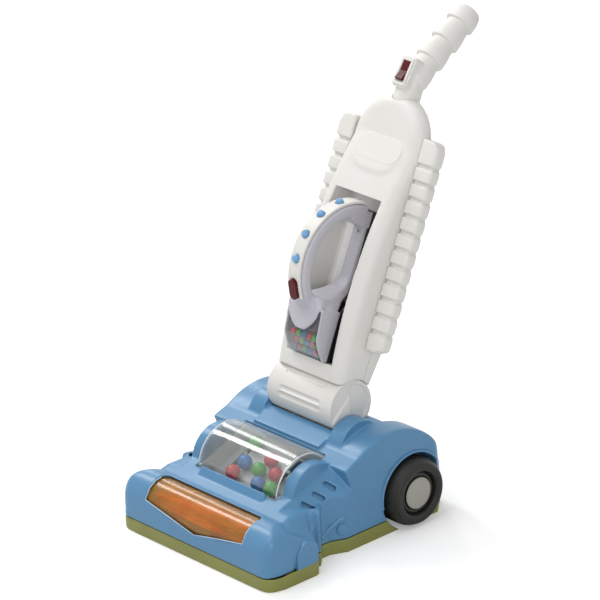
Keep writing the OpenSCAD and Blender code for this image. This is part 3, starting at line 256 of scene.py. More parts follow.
LOOKS = {
    # The hood's larger share of pale edges is mostly painted highlight along its edges.
    "hood_blue": plastic("hood_blue", "5587ae", "5284ab", "a9c9e2", (0.28, 0.34),
                         wear_and_highlight_share=0.45, spec=0.4),
    "tray_olive": plastic("tray_olive", "858740", "7c7e3b", "a9ab6a", (0.34, 0.46)),
    "chamber_grey": plastic("chamber_grey", "b9bab6", "aeb0ac", "d6d6d2", (0.35, 0.5)),
    "shell_white": plastic("shell_white", "dddbd7", "dad8d3", "efeeeb", (0.40, 0.48),
                           wear_and_highlight_share=0.25, spec=0.35),
    "vac_grey": plastic("vac_grey", "bdbbc3", "b6b4bd", "d2d1d8", (0.34, 0.44)),
    "vac_black": plastic("vac_black", "171418", "1d191e", "3a353a", (0.38, 0.5)),
    "tyre_black": plastic("tyre_black", "2a2a27", "242422", "454541", (0.42, 0.55),
                          700, 0.0001, spec=0.3),
    "hub_black": plastic("hub_black", "242421", "1f1f1d", "454540", (0.4, 0.55)),
    "cap_grey": plastic("cap_grey", "a3a299", "9a9990", "c2c1b8", (0.38, 0.5)),
    "belt_rubber": plastic("belt_rubber", "1c1c1b", "242423", "3a3a38", (0.6, 0.8)),
    "drive_plastic": plastic("drive_plastic", "b5b5ae", "a9a9a2", "d0d0ca", (0.4, 0.55)),
    # Pale yellow streaks on the roller: partly its rows, partly painted highlights seen through the
    # amber.
    "roller_red": streaked("roller_red", "ffe28c", "4e2a08"),
    "ball_red": plastic("ball_red", "cc1a1c", "c01517", "e0585a", (0.2, 0.3)),
    "ball_green": plastic("ball_green", "3fa827", "379b21", "7cc46a", (0.2, 0.3)),
    "ball_blue": plastic("ball_blue", "1a6fb6", "1766a9", "5f97cf", (0.2, 0.3)),
    "button_blue": plastic("button_blue", "6ea4d0", "6398c6", "a9cbe6", (0.14, 0.22)),
    "button_maroon": plastic("button_maroon", "5a1013", "4d0b0e", "7d3534", (0.3, 0.4), spec=0.2),
    "speaker_black": plastic("speaker_black", "1a1a1c", "232326", "3c3c40", (0.5, 0.7)),
    "board_green": plastic("board_green", "2f6b3a", "28602f", "5f8d60", (0.4, 0.55)),
    "steel": metal("steel", "b6b8bb", "a2a5a8"),
    "cell_metal": metal("cell_metal", "9a8f6a", "8b8fa0"),
    "amber_clear": clear_plastic("amber_clear", "f4c44c", "b36c04", 0.24, 0.03, 0.1, 0.25),
    "clear_plastic": clear_plastic("clear_plastic", "f9fbfb", "e6ebee", 0.01, 0.075, 0.06, 0.35),
    "cup_clear": clear_plastic("cup_clear", "f7f9fa", "f2f3f5", 0.025, 0.03, 0.08, 0.6),
    # A whiter copy of the shell's white for the niche: painted light where the niche lies in shade.
    "niche_white": plastic("niche_white", "f6f5f3", "f3f2ef", "fbfbfa", (0.40, 0.48),
                           wear_and_highlight_share=0.1, spec=0.35),
    # Pale clear beads on the dome's end edges: the edge is real, its paleness is painted highlight.
    "rim_clear": clear_plastic("rim_clear", "f6f9fb", "f4f8fa", 0.45, 0.2, 0.06),
    # Lightened hood blue for the bead along the window's opening: painted highlight.
    "rim_blue": plastic("rim_blue", "a9c6dc", "9fbfd8", "d5e4ef", (0.25, 0.35)),
    "liner_dark": plastic("liner_dark", "2a2c33", "23252b", "44464d", (0.45, 0.6)),
}


def finish_with(obj, slot):
    obj.data.materials.clear()
    obj.data.materials.append(LOOKS[slot])


# The record's slot of every solid
slot_of = {part["node"]: part["material_slot"] for part in frame["record"]["subparts"]}


# Mesh helpers
def new_object(name, mesh):
    obj = bpy.data.objects.new(name, mesh)
    scene.collection.objects.link(obj)
    return obj


@contextmanager
def editing(mesh):
    """A mesh opened for changes, which are written back at the end."""
    work = bmesh.new()
    work.from_mesh(mesh)
    yield work
    work.to_mesh(mesh)
    work.free()


def settle(obj):
    """Turns an object's modifiers into its mesh."""
    graph = bpy.context.evaluated_depsgraph_get()
    mesh = bpy.data.meshes.new_from_object(obj.evaluated_get(graph))
    obj.modifiers.clear()
    old = obj.data
    obj.data = mesh
    bpy.data.meshes.remove(old)


def places(obj, what="co"):
    """Every vertex's place in millimetres, or its normal, as rows."""
    flat = np.empty(3 * len(obj.data.vertices))
    obj.data.vertices.foreach_get(what, flat)
    return flat.reshape(-1, 3) / (MM if what == "co" else 1)


def add_group(obj, name, weight_at):
    """A vertex group whose weight, in sixteenths, comes from each vertex's place in millimetres."""
    group = obj.vertex_groups.new(name=name)
    steps = np.rint(16 * weight_at(*places(obj).T)).astype(int)
    for k in range(1, 17):
        group.add(np.flatnonzero(steps == k).tolist(), k / 16, "REPLACE")


def shade(obj, angle=None):
    obj.data.polygons.foreach_set("use_smooth", [True] * len(obj.data.polygons))
    if angle:
        obj.data.set_sharp_from_angle(angle=math.radians(angle))


def take(obj, body, slot, *replaced):
    """Gives a piece the look of a slot and its body, and hides the solids it stands for."""
    finish_with(obj, slot)
    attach(obj, body)
    if replaced:
        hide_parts(*replaced)
    return obj


def lathe_x(name, profile, side, steps):
    """A turned piece about the rear axle: profile is (radius, distance in from the face)."""
    mesh = bpy.data.meshes.new(name)
    with editing(mesh) as work:
        rings = []
        for r, d in profile:
            x = side * (WHEEL_FACE - d) * MM
            if r < 1e-6:
                rings.append([work.verts.new((x, 0, AXLE_Z * MM))])
                continue
            turns = [2 * math.pi * i / steps for i in range(steps)]
            rings.append([work.verts.new((x, r * math.cos(t) * MM, (AXLE_Z + r * math.sin(t)) * MM))
                          for t in turns])
        for a, b in zip(rings, rings[1:]):
            for i in range(steps):
                j = (i + 1) % steps
                corners = [a[i % len(a)], a[j % len(a)], b[j % len(b)], b[i % len(b)]]
                unique = list(dict.fromkeys(corners))
                if len(unique) > 2:
                    work.faces.new(unique)
        bmesh.ops.recalc_face_normals(work, faces=work.faces)
    return new_object(name, mesh)


def rounded(points, radius, steps=5):
    """A line of points with every corner but its two ends rounded."""
    out = [points[0]]
    for before, here, after in zip(points, points[1:], points[2:]):
        p, a, b = Vector(here), Vector(before), Vector(after)
        r = min(radius, (a - p).length / 2.2, (b - p).length / 2.2)
        start, end = p + (a - p).normalized() * r, p + (b - p).normalized() * r
        for i in range(steps + 1):
            t = i / steps
            out.append(tuple(start * (1 - t) ** 2 + p * 2 * t * (1 - t) + end * t ** 2))
    out.append(points[-1])
    return out


# Camera at the photograph's angle, as fitted to it
TURN, RISE, ROLL = math.radians(48.08), math.radians(23.20), math.radians(-2.10)
AIM, DISTANCE = Vector((0.00082, -0.06078, 0.25667)), 4.70885
FOCAL_PIXELS, PHOTO_PIXELS, SENSOR_MM = 4307.52, 600, 36
back = Vector((math.sin(TURN) * math.cos(RISE), -math.cos(TURN) * math.cos(RISE), math.sin(RISE)))
right = Vector((math.cos(TURN), math.sin(TURN), 0))
up = back.cross(right)
across = right * math.cos(ROLL) + up * math.sin(ROLL)
upward = up * math.cos(ROLL) - right * math.sin(ROLL)
eye = AIM + back * DISTANCE
lens = bpy.data.cameras.new("camera")
lens.sensor_width = SENSOR_MM
lens.lens = FOCAL_PIXELS / PHOTO_PIXELS * SENSOR_MM
lens.clip_end = 100
camera = new_object("camera", lens)
camera.matrix_world = Matrix((
    (across.x, upward.x, back.x, eye.x),
    (across.y, upward.y, back.y, eye.y),
    (across.z, upward.z, back.z, eye.z),
    (0, 0, 0, 1),
))
scene.camera = camera
scene.view_settings.view_transform = "Standard"

# Floor, a little brighter to the camera than its light makes it
FLOOR_HALF, FLOOR_LIFT = 8, 0.22
floor_mesh = bpy.data.meshes.new("floor")
with editing(floor_mesh) as work:
    bmesh.ops.create_grid(work, x_segments=2, y_segments=2, size=FLOOR_HALF)
floor = new_object("floor", floor_mesh)
floor_look = Look("floor_white")
floor_look.feed("Base Color", floor_look.mix(floor_look.noise(3, 2), rgb("f6f6f6"), rgb("f3f3f3")))
socket(floor_look.bsdf, "Roughness", 0.8)
socket(floor_look.bsdf, "Specular IOR Level", 0.1)
glow = floor_look.add("ShaderNodeEmission")
socket(glow, "Color", (1, 1, 1, 1))
to_camera = floor_look.add("ShaderNodeLightPath").outputs["Is Camera Ray"]
floor_look.link(floor_look.maths("MULTIPLY", to_camera, FLOOR_LIFT), glow.inputs["Strength"])
both = floor_look.add("ShaderNodeAddShader")
floor_look.link(floor_look.bsdf.outputs[0], both.inputs[0])
floor_look.link(glow.outputs[0], both.inputs[1])
floor_look.link(both.outputs[0], floor_look.out.inputs[0])
floor.data.materials.append(floor_look.mat)

# Soft studio light: white to the camera and in reflections, dimmer as a lamp
SKY_LIGHT = 0.46
world = bpy.data.worlds.new("studio")
scene.world = world
world.use_nodes = True
tree = world.node_tree
tree.nodes.clear()
sky = tree.nodes.new("ShaderNodeOutputWorld")
soft = tree.nodes.new("ShaderNodeBackground")
seen = tree.nodes.new("ShaderNodeBackground")
socket(soft, "Strength", SKY_LIGHT)
for shader in (soft, seen):
    socket(shader, "Color", (1, 1, 1, 1))
rays = tree.nodes.new("ShaderNodeLightPath")
is_seen = rays.outputs["Is Camera Ray"]
for kind in ("Is Glossy Ray", "Is Transmission Ray"):
    either = tree.nodes.new("ShaderNodeMath")
    either.operation = "MAXIMUM"
    tree.links.new(is_seen, either.inputs[0])
    tree.links.new(rays.outputs[kind], either.inputs[1])
    is_seen = either.outputs[0]
pick = tree.nodes.new("ShaderNodeMixShader")
for slot, source in enumerate((is_seen, soft.outputs[0], seen.outputs[0])):
    tree.links.new(source, pick.inputs[slot])
tree.links.new(pick.outputs[0], sky.inputs[0])


def lamp(name, place, size, size_y, power):
    """A rectangular lamp, in metres and watts, aimed at the middle of the part."""
    data = bpy.data.lights.new(name, "AREA")
    data.shape = "RECTANGLE"
    data.size, data.size_y, data.energy = size, size_y, power
    obj = new_object(name, data)
    obj.location = place
    obj.rotation_euler = (LAMP_AIM - Vector(place)).to_track_quat("-Z", "Y").to_euler()


LAMP_AIM = Vector((0.0, -0.06, 0.2))
lamp("key", (-1.75, -0.10, 2.1), 0.45, 1.6, 26)
lamp("strip", (-1.84, 0.99, 1.61), 0.3, 1.6, 7)
lamp("top", (-0.2, -1.1, 2.6), 2.0, 2.0, 27)
lamp("fill", (2.6, -1.6, 1.5), 1.5, 1.5, 22)


# Shape helpers
WELD = 0.00001
SMOOTH_FACTOR = 0.5
WALL = 1.9


def ramp(v, low, high):
    """0 at low, 1 at high, smooth between."""
    t = np.clip((v - low) / (high - low), 0.0, 1.0)
    return t * t * (3 - 2 * t)


def round_corner(a, b):
    """A square corner, with a and b measured from where it starts, turned into a round one."""
    hit = (a > 0) & (b > 0)
    k = np.where(hit, np.maximum(a, b) / np.maximum(np.hypot(a, b), 1e-9), 1.0)
    return a * k, b * k


def joined(name, parts, voxel, rounds, faces, extra=(), shape=None):
    """Overlapping closed forms, each (verts, faces) in metres, melted into one moulded piece."""
    verts, polys = [], []
    for vs, fs in parts:
        polys += [[i + len(verts) for i in f] for f in fs]
        verts += [tuple(v) for v in vs]
    mesh = bpy.data.meshes.new(name)
    mesh.from_pydata(verts, [], polys)
    mesh.update()
    obj = new_object(name, mesh)
    melt(obj, voxel, rounds, faces, extra, shape)
    return obj


def melt(obj, voxel, rounds, faces, extra=(), shape=None):
    """Rounds a closed form off: voxel size in millimetres, rounds of smoothing, triangles to keep.
    extra adds (rounds, weight_at) passes, and shape gives new places, in millimetres, from places
    and normals."""
    with editing(obj.data) as work:
        bmesh.ops.remove_doubles(work, verts=work.verts, dist=WELD)
    remesh = obj.modifiers.new("remesh", "REMESH")
    remesh.mode = "VOXEL"
    remesh.voxel_size = voxel * MM
    remesh.use_smooth_shade = True
    smooth = obj.modifiers.new("round", "SMOOTH")
    smooth.factor = SMOOTH_FACTOR
    smooth.iterations = rounds
    settle(obj)
    if shape:
        moved = shape(places(obj), places(obj, "normal"))
        obj.data.vertices.foreach_set("co", (moved * MM).ravel())
        obj.data.update()
    for i, (more, weight_at) in enumerate(extra):
        add_group(obj, f"more{i}", weight_at)
        again = obj.modifiers.new(f"more{i}", "SMOOTH")
        again.factor = SMOOTH_FACTOR
        again.iterations = more
        again.vertex_group = f"more{i}"
    if extra:
        settle(obj)
    share = faces / (2 * len(obj.data.polygons))
    if share < 1:
        lean = obj.modifiers.new("lean", "DECIMATE")
        lean.ratio = share
        settle(obj)
    obj.vertex_groups.clear()
    shade(obj)


def dressed(name, node, voxel, rounds, faces, extra=(), shape=None):
    """A moulded copy of a solid, with its edges rounded off."""
    obj = new_object(name, nodes[node].data.copy())
    melt(obj, voxel, rounds, faces, extra, shape)
    return obj


def slab(place, outline, low, high):
    """A plate: an outline of (u, v), extruded from low to high and put in space by place."""
    n = len(outline)
    verts = [place(u, v, low) for u, v in outline] + [place(u, v, high) for u, v in outline]
    polys = [list(range(n))[::-1], list(range(n, 2 * n))]
    polys += [[i, (i + 1) % n, n + (i + 1) % n, n + i] for i in range(n)]
    return verts, polys


def slab_pair(place, outline, low, high):
    """A plate on the right and its mirror image on the left."""
    return [slab(place, outline, low, high), slab(place, outline, -high, -low)]


def even_quad(low_half, low, high_half, high):
    """An outline with two level sides, even about the middle."""
    return [(-low_half, low), (low_half, low), (high_half, high), (-high_half, high)]


def thicken(obj):
    """Gives a clear sheet its wall, inwards."""
    wall = obj.modifiers.new("wall", "SOLIDIFY")
    wall.thickness = WALL * MM
    wall.offset = -1
    settle(obj)
    shade(obj, 40)


def swept(path, section):
    """A closed section of (u, v) offsets, carried along a path of (centre, axis_u, axis_v)."""
    verts, polys, m = [], [], len(section)
    for centre, u, v in path:
        verts += [centre + u * a + v * b for a, b in section]
    for k in range(len(path) - 1):
        for i in range(m):
            j = (i + 1) % m
            polys.append([k * m + i, k * m + j, (k + 1) * m + j, (k + 1) * m + i])
    polys.append(list(range(m))[::-1])
    polys.append([(len(path) - 1) * m + i for i in range(m)])
    return verts, polys


def turned(profile, origin, axis, steps=64):
    """A closed turned form: profile is (radius, distance along axis) in millimetres."""
    axis = axis.normalized()
    u = axis.orthogonal().normalized()
    v = axis.cross(u)
    verts, polys = [], []
    for r, d in profile:
        for i in range(steps):
            t = 2 * math.pi * i / steps
            verts.append(origin + axis * d * MM + (u * math.cos(t) + v * math.sin(t)) * r * MM)
    for k in range(len(profile) - 1):
        for i in range(steps):
            j = (i + 1) % steps
            polys.append([k * steps + i, k * steps + j, (k + 1) * steps + j, (k + 1) * steps + i])
    polys.append(list(range(steps))[::-1])
    polys.append([(len(profile) - 1) * steps + i for i in range(steps)])
    return verts, polys


def tube(name, points, radius):
    """A round bead along a line of points in metres."""
    data = bpy.data.curves.new(name, "CURVE")
    data.dimensions = "3D"
    data.bevel_depth = radius * MM
    data.bevel_resolution = 3
    line = data.splines.new("POLY")
    line.points.add(len(points) - 1)
    for q, p in zip(line.points, points):
        q.co = (*p, 1)
    obj = new_object(name, data)
    graph = bpy.context.evaluated_depsgraph_get()
    mesh = bpy.data.meshes.new_from_object(obj.evaluated_get(graph))
    bpy.data.objects.remove(obj)
    made = new_object(name, mesh)
    shade(made)
    return made


# Base
NOSE_CORNER_R = 17.0
REAR_CORNER_R = 14.0
CORNER_SHARE = 0.97
END_IN = 2.2
END_SINK, SINK_FROM = 0.45, 20
FLUTE_DEEP, FLUTE_PITCH = 0.8, 5.0
# How far the fenders reach from the axle, by degrees up from straight behind it
FENDER_TURN = [0, 15, 25, 35, 45, 55, 65, 75, 90]
FENDER_REACH = [9999, 53.5, 53.8, 55.8, 58.8, 62.4, 66.8, 71.5, 9999]


def corner_drop(into, radius):
    """How far a round corner has fallen away at a distance into it."""
    a = np.clip(into, 0, CORNER_SHARE * radius)
    return radius - np.sqrt(radius * radius - a * a)


def set_back(out, y):
    """How far the front corners give way, so that the bumper's ends are round from above."""
    return corner_drop(out - (HALF_FRONT - NOSE_CORNER_R), NOSE_CORNER_R) * ramp(-y, 190, 218)


def tuck_in(out, y):
    """How far the bumper's ends draw in at their rear corners."""
    drop = corner_drop(y + BUMPER_BACK + REAR_CORNER_R, REAR_CORNER_R)
    return drop * ramp(out, 100, 118) * ramp(-y, 143, BUMPER_BACK)


def hood_shape(p, normal):
    """Rounds the bumper's ends and the fenders' backs, and presses in the flutes."""
    x, y, z = p.T
    side, out = np.sign(x), np.abs(x)
    y = y + set_back(out, y)
    out = out - END_IN * ramp(out, 112, HALF_FRONT) * ramp(-y, 146, 154)
    sink = ramp(out, 98, 113) * ramp(y, -208, -158) * ramp(-y, 146, 151)
    z = np.where(z > SINK_FROM, SINK_FROM + (z - SINK_FROM) * (1 - END_SINK * sink), z)
    out = out - tuck_in(out, y)
    radius = np.hypot(z - AXLE_Z, y)
    limit = np.interp(np.degrees(np.arctan2(z - AXLE_Z, y)), FENDER_TURN, FENDER_REACH)
    pull = 1 - ramp(out, 84, 92) * np.maximum(0, radius - limit) / np.maximum(radius, 1)
    y, z = y * pull, AXLE_Z + (z - AXLE_Z) * pull
    panel = ramp(y, -96, -91) * ramp(-y, 57, 62) * ramp(z, 27, 31) * ramp(-z, -57, -50)
    wave = 0.5 + 0.5 * np.cos(2 * np.pi * y / FLUTE_PITCH)
    flute = panel * ramp(normal[:, 0] * side, 0.2, 0.5) * wave
    return np.stack([side * (out - FLUTE_DEEP * flute), y, z], 1)


def bumper_end(x, y, z):
    """Where the bumper's ends are smoothed more."""
    return ramp(np.abs(x), 92, 106) * ramp(-y, 140, 150) * ramp(z, 19, 26)


def fender_edge(x, y, z):
    """Where the fenders' edges are smoothed more."""
    return ramp(np.abs(x), 86, 98) * ramp(y, -95, -70) * ramp(z, 50, 66)


hood = dressed("hood_shell", "hood", voxel=1.15, rounds=6, faces=90000,
               extra=[(40, bumper_end), (50, fender_edge)], shape=hood_shape)
take(hood, "base", "hood_blue", "hood")


def tray_shape(p, normal):
    """Gives the tray the same round corners as the bumper."""
    x, y, z = p.T
    out = np.abs(x)
    return np.stack([np.sign(x) * (out - tuck_in(out, y)), y + set_back(out, y), z], 1)


def tray_corner(x, y, z):
    """Where the tray's front corners are smoothed more."""
    return ramp(np.abs(x), 98, 108) * ramp(-y, 203, 212)


tray = dressed("tray_shell", "base_tray", voxel=1.3, rounds=4, faces=26000,
               extra=[(12, tray_corner)], shape=tray_shape)
take(tray, "base", "tray_olive", "base_tray")

# Raised arch on each end of the bumper
ARCH_Y, ARCH_Z, ARCH_R, ARCH_LOW, ARCH_STEPS = -172, 28, 16.5, 15, 16


def arch_place(u, v, w):
    return Vector((w, u, v)) * MM


def arch_shape(p, normal):
    """Keeps the arches on the bumper's ends where those draw in."""
    x, y, z = p.T
    out = np.abs(x)
    return np.stack([np.sign(x) * (out - tuck_in(out, y)), y, z], 1)


arch_turns = [math.pi * k / ARCH_STEPS for k in range(ARCH_STEPS + 1)]
arch = [(ARCH_Y - ARCH_R, ARCH_LOW)]
arch += [(ARCH_Y - ARCH_R * math.cos(t), ARCH_Z + ARCH_R * math.sin(t)) for t in arch_turns]
arch += [(ARCH_Y + ARCH_R, ARCH_LOW)]
arches = joined("bumper_arches", slab_pair(arch_place, arch, 114, 124.6),
                voxel=0.6, rounds=8, faces=9000, shape=arch_shape)
take(arches, "base", "hood_blue")

# Lip of each wheel arch, and the strap and stud ahead of it
LIP_X, LIP_R = 107.6, 45.9
STRAP = ((99.4, -131, 25), (99.6, -126, 28.5), (100.0, -120, 32.5),
         (102.0, -113, 37), (104.6, -107, 41), (106.6, -102.5, 44))
STUD_AT, STUD_AXIS = (105.6, -105.2, 29), (0.91, -0.41, 0)
STUD_LINE = [(0.3, -2.0), (6.8, -2.0), (6.8, 1.2), (5.6, 2.3), (0.3, 2.6)]


def on_side(side, point):
    return Vector((side * point[0], point[1], point[2]))


for side, word in SIDES:
    lip_turns = [math.radians(d) for d in range(34, 191, 3)]
    lip_arc = [on_side(side, (LIP_X, LIP_R * math.cos(t), AXLE_Z + LIP_R * math.sin(t))) * MM
               for t in lip_turns]
    take(tube(f"{word}_arch_lip", lip_arc, 1.5), "base", "hood_blue")
    strap = [on_side(side, point) * MM for point in STRAP]
    take(tube(f"{word}_strap", strap, 2.1), "base", "hood_blue")
    stud_form = turned(STUD_LINE, on_side(side, STUD_AT) * MM, on_side(side, STUD_AXIS))
    stud = joined(f"{word}_stud", [stud_form], voxel=0.45, rounds=4, faces=2600)
    take(stud, "base", "hood_blue")

# Webs that close the slits from inside
SLIT_TURN = math.radians(19)
SLIT_X, SLIT_DROP, SLIT_Y, SLIT_PITCH, SLIT_COUNT = 93.5, 12.5, -30, 18, 3


def slit_place(side, i):
    """The frame of one slit, on the slanting shoulder of the deck."""
    def place(u, v, w):
        a = u * math.cos(SLIT_TURN) - v * math.sin(SLIT_TURN)
        b = u * math.sin(SLIT_TURN) + v * math.cos(SLIT_TURN)
        x = SLIT_X + a * DIAGONAL + w * DIAGONAL
        z = -SLIT_DROP - a * DIAGONAL + w * DIAGONAL
        return on_deck(side * x, SLIT_Y + i * SLIT_PITCH + b, z)
    return place


webs = [slab(slit_place(side, i), even_quad(10, -4.6, 10, 4.6), -5.2, -4.0)
        for side, word in SIDES for i in range(SLIT_COUNT)]
web_plates = joined("slit_webs", webs, voxel=0.6, rounds=3, faces=6000)
take(web_plates, "base", "hood_blue")

# Clear dome, cut off level with the deck, with a pale rim along each end that is partly a painted
# highlight on the dome's edge
DOME_R, DOME_HALF, DOME_CUT = 42.9, 64.9, -1.8
RIM_X, RIM_R, RIM_STEPS = 63.2, 41.6, 48
deck_up = (on_deck(0, 0, 1) - on_deck(0, 0, 0)).normalized()
end_line = rounded([(0.4, DOME_HALF), (DOME_R, DOME_HALF), (DOME_R, 0)], 5.0, 7)[:-1]
half_line = end_line + [(DOME_R, d) for d in (40, 20, 0)]
full_line = half_line + [(r, -d) for r, d in half_line[-2::-1]]
dome_verts, dome_polys = turned(full_line, on_deck(0, *DOME), ACROSS, 128)
dome_mesh = bpy.data.meshes.new("dome")
dome_mesh.from_pydata([tuple(v) for v in dome_verts], [], dome_polys)
with editing(dome_mesh) as work:
    bmesh.ops.recalc_face_normals(work, faces=work.faces)
    bmesh.ops.bisect_plane(work, geom=work.verts[:] + work.edges[:] + work.faces[:],
                           plane_co=on_deck(0, 0, DOME_CUT), plane_no=deck_up, clear_inner=True)
dome = new_object("dome_shell", dome_mesh)
thicken(dome)
take(dome, "base", "clear_plastic", "ball_dome")
for k, (side, word) in enumerate(SIDES):
    rim_turns = [math.radians(25 + 130 * i / RIM_STEPS) for i in range(RIM_STEPS + 1)]
    rim = [on_deck(side * RIM_X, DOME[0] - RIM_R * math.cos(t), DOME[1] + RIM_R * math.sin(t))
           for t in rim_turns]
    take(tube(f"dome_rim_{k}", rim, 0.9), "base", "rim_clear")

# Amber window, and a pale blue bead along its opening's lip as a painted highlight
PANE_R, PANE_HALF, PANE_TURN, PANE_COLS, PANE_ROWS = 25.7, 82, 72, 42, 28
OPEN_R, OPEN_HALF, OPEN_STEPS = 27.85, 79.6, 14


def nose_place(x, v, r):
    """A point at radius r from the nose's middle line, v up the window's slope."""
    y, z = -math.sqrt(max(0.0, r * r - v * v)), v
    return Vector((x, NOSE[0] + DIAGONAL * (y + z), NOSE[1] + DIAGONAL * (z - y))) * MM


pane_verts, pane_polys = [], []
for i in range(PANE_COLS + 1):
    for j in range(PANE_ROWS + 1):
        t = math.radians(-PANE_TURN + 2 * PANE_TURN * j / PANE_ROWS)
        x = -PANE_HALF + 2 * PANE_HALF * i / PANE_COLS
        pane_verts.append(tuple(nose_place(x, PANE_R * math.sin(t), PANE_R)))
for i in range(PANE_COLS):
    for j in range(PANE_ROWS):
        k = i * (PANE_ROWS + 1) + j
        pane_polys.append([k, k + PANE_ROWS + 1, k + PANE_ROWS + 2, k + 1])
pane_mesh = bpy.data.meshes.new("pane")
pane_mesh.from_pydata(pane_verts, [], pane_polys)
with editing(pane_mesh) as work:
    bmesh.ops.recalc_face_normals(work, faces=work.faces)
pane = new_object("window_pane", pane_mesh)
thicken(pane)
take(pane, "base", "amber_clear", "roller_window")
lip_right = [(79.2, 18), (OPEN_HALF, 10), (OPEN_HALF, 0), (OPEN_HALF, -13.0)]
lip_right += [(OPEN_HALF * (1 - k / OPEN_STEPS), -13.2 - 11.6 * k / OPEN_STEPS)
              for k in range(1, OPEN_STEPS + 1)]
lip_line = lip_right + [(-x, v) for x, v in lip_right[-2::-1]]
lip_points = [nose_place(x, v, OPEN_R) for x, v in lip_line]
take(tube("window_lip", lip_points, 0.62), "base", "rim_blue")

# Wheels: each line is radius, then distance inwards from the wheel's face
TYRE_LINE = rounded([
    (25.2, 6.0), (25.6, 1.6), (29.5, 0.25), (34.6, 0.5), (39.3, 9.2), (39.4, 20),
    (39.3, 34), (34.8, 38.8), (25.2, 38.8), (25.2, 6.0)], 4.0, 6)
HUB_LINE = rounded([
    (3.2, 11.0), (3.2, 9.2), (18.9, 9.0), (19.6, 5.2), (22.4, 5.2), (24.9, 7.5), (24.9, 33.5),
    (22.2, 33.5), (21.9, 13.5), (8.0, 12.8), (7.9, 38.5), (3.2, 38.5), (3.2, 11.0)], 1.2, 3)
CAP_LINE = [(0, 2.65)] + rounded([
    (0.5, 2.65), (16.6, 2.95), (18.4, 3.7), (18.5, 4.9), (6.0, 4.95), (5.9, 8.8)], 0.8, 4)
CAP_LINE += [(0, 8.8)]
for side, word in SIDES:
    tyre = lathe_x(f"{word}_tyre_round", TYRE_LINE, side, steps=128)
    shade(tyre, 50)
    take(tyre, "wheels", "tyre_black", f"{word}_tyre")
    hub = lathe_x(f"{word}_hub_dish", HUB_LINE, side, steps=96)
    shade(hub, 45)
    take(hub, "wheels", "hub_black", f"{word}_wheel_hub")
    cap = lathe_x(f"{word}_cap_disc", CAP_LINE, side, steps=96)
    shade(cap, 45)
    take(cap, "wheels", "cap_grey", f"{word}_hub_cap")

# Upright
RIB_OUT, RIB_LOW, RIB_TOP = 65.5, 114.5, 332
NICHE_HALF, NICHE_N, NICHE_S = 30.2, (1.2, 38), (72, 262)


def badge_swell(x, y, z):
    """Where the ground round the badge plate is smoothed more."""
    x, n, s = upright_place(x, y, z)
    far = np.hypot(np.maximum(0.0, np.abs(x) - 18), s - BADGE_S)
    return ramp(n, 8, 14) * ramp(far, 14, 18) * ramp(-far, -42, -34)


def rib_shape(p, normal):
    """Rounds the top and bottom corners of the ribbed wings."""
    x, n, s = upright_place(*p.T)
    out, above = round_corner(np.abs(x) - RIB_OUT, s - RIB_TOP)
    out, below = round_corner(out, RIB_LOW - s)
    new_s = np.where(RIB_LOW - s > 0, RIB_LOW - below, RIB_TOP + above)
    return upright_back(np.sign(x) * (RIB_OUT + out), n, new_s)


def ribs(x, y, z):
    """Where the ribs are smoothed more."""
    return ramp(np.abs(x), 54, 59)


def split_off(obj, name, inside):
    """Moves the faces whose middle is inside into a piece of their own."""
    other = new_object(name, obj.data.copy())
    for piece, keep in ((obj, False), (other, True)):
        with editing(piece.data) as work:
            middles = np.array([f.calc_center_median() for f in work.faces]) / MM
            hit = inside(*middles.T)
            drop = [f for f, h in zip(work.faces, hit) if h != keep]
            bmesh.ops.delete(work, geom=drop, context="FACES")
    return other


def in_niche(x, y, z):
    """Whether places lie on the walls or the floor of the niche."""
    x, n, s = upright_place(x, y, z)
    deep = (n > NICHE_N[0]) & (n < NICHE_N[1])
    return (np.abs(x) < NICHE_HALF) & deep & (s > NICHE_S[0]) & (s < NICHE_S[1])


front = dressed("upright_front_shell", "upright_front", voxel=1.0, rounds=9, faces=50000,
                extra=[(100, badge_swell)])
# The niche's walls and floor are split off for that whiter look, which is painted light.
niche = split_off(front, "niche_skin", in_niche)
take(front, "upright", "shell_white", "upright_front")
take(niche, "upright", "niche_white")
rear = dressed("upright_back_shell", "upright_back", voxel=1.0, rounds=7, faces=64000,
               extra=[(16, ribs)], shape=rib_shape)
take(rear, "upright", "shell_white", "upright_back")

# Hinge drum
GROOVE_HALF, GROOVE_R, GROOVE_TURN, GROOVE_DEEP = 30, 31, 22, 1.9
CRESCENT_DEEP, CRESCENT_SLANT = 1.8, 0.45


def drum_shape(p, normal):
    """Presses a long groove into the drum's front and a crescent into each end."""
    x, n, s = upright_place(*p.T)
    n, s = n - DRUM[0], s - DRUM[1]
    along = GROOVE_R * np.radians(np.degrees(np.arctan2(s, n)) + GROOVE_TURN)
    far = np.hypot(np.maximum(0.0, np.abs(x) - GROOVE_HALF), along)
    groove = GROOVE_DEEP * ramp(-far, -3.8, -1.6) * (np.hypot(s, n) > 28.5)
    on_end = ramp(np.abs(normal[:, 0]), 0.7, 0.9)
    crescent = ramp(n + CRESCENT_SLANT * s, 10.5, 12.5) * on_end * (np.abs(x) > 40)
    return p - normal * (groove + CRESCENT_DEEP * crescent)[:, None]


drum = dressed("hinge_drum_shell", "hinge_drum", voxel=0.9, rounds=6, faces=26000,
               shape=drum_shape)
take(drum, "upright", "shell_white", "hinge_drum")

# Grip: a bent neck, four flared segments, and a soft housing for the switch
GRIP_BEND = math.radians(34)
BEND_R, BEND_STEPS = 15.5, 20
CUP_COUNT, CUP_LEN, CUP_FROM, CUP_END = 4, 28, 4, 104.5
PAD_HALF, PAD_R = (7, 14), 4.2


def tilted(n0, s0, lift):
    """The frame of a plate on the upright: u across, v up the plate, w out of its face."""
    def place(u, v, w):
        n = n0 + w * math.cos(lift) - v * math.sin(lift)
        return on_upright(u, n, s0 + v * math.cos(lift) + w * math.sin(lift))
    return place


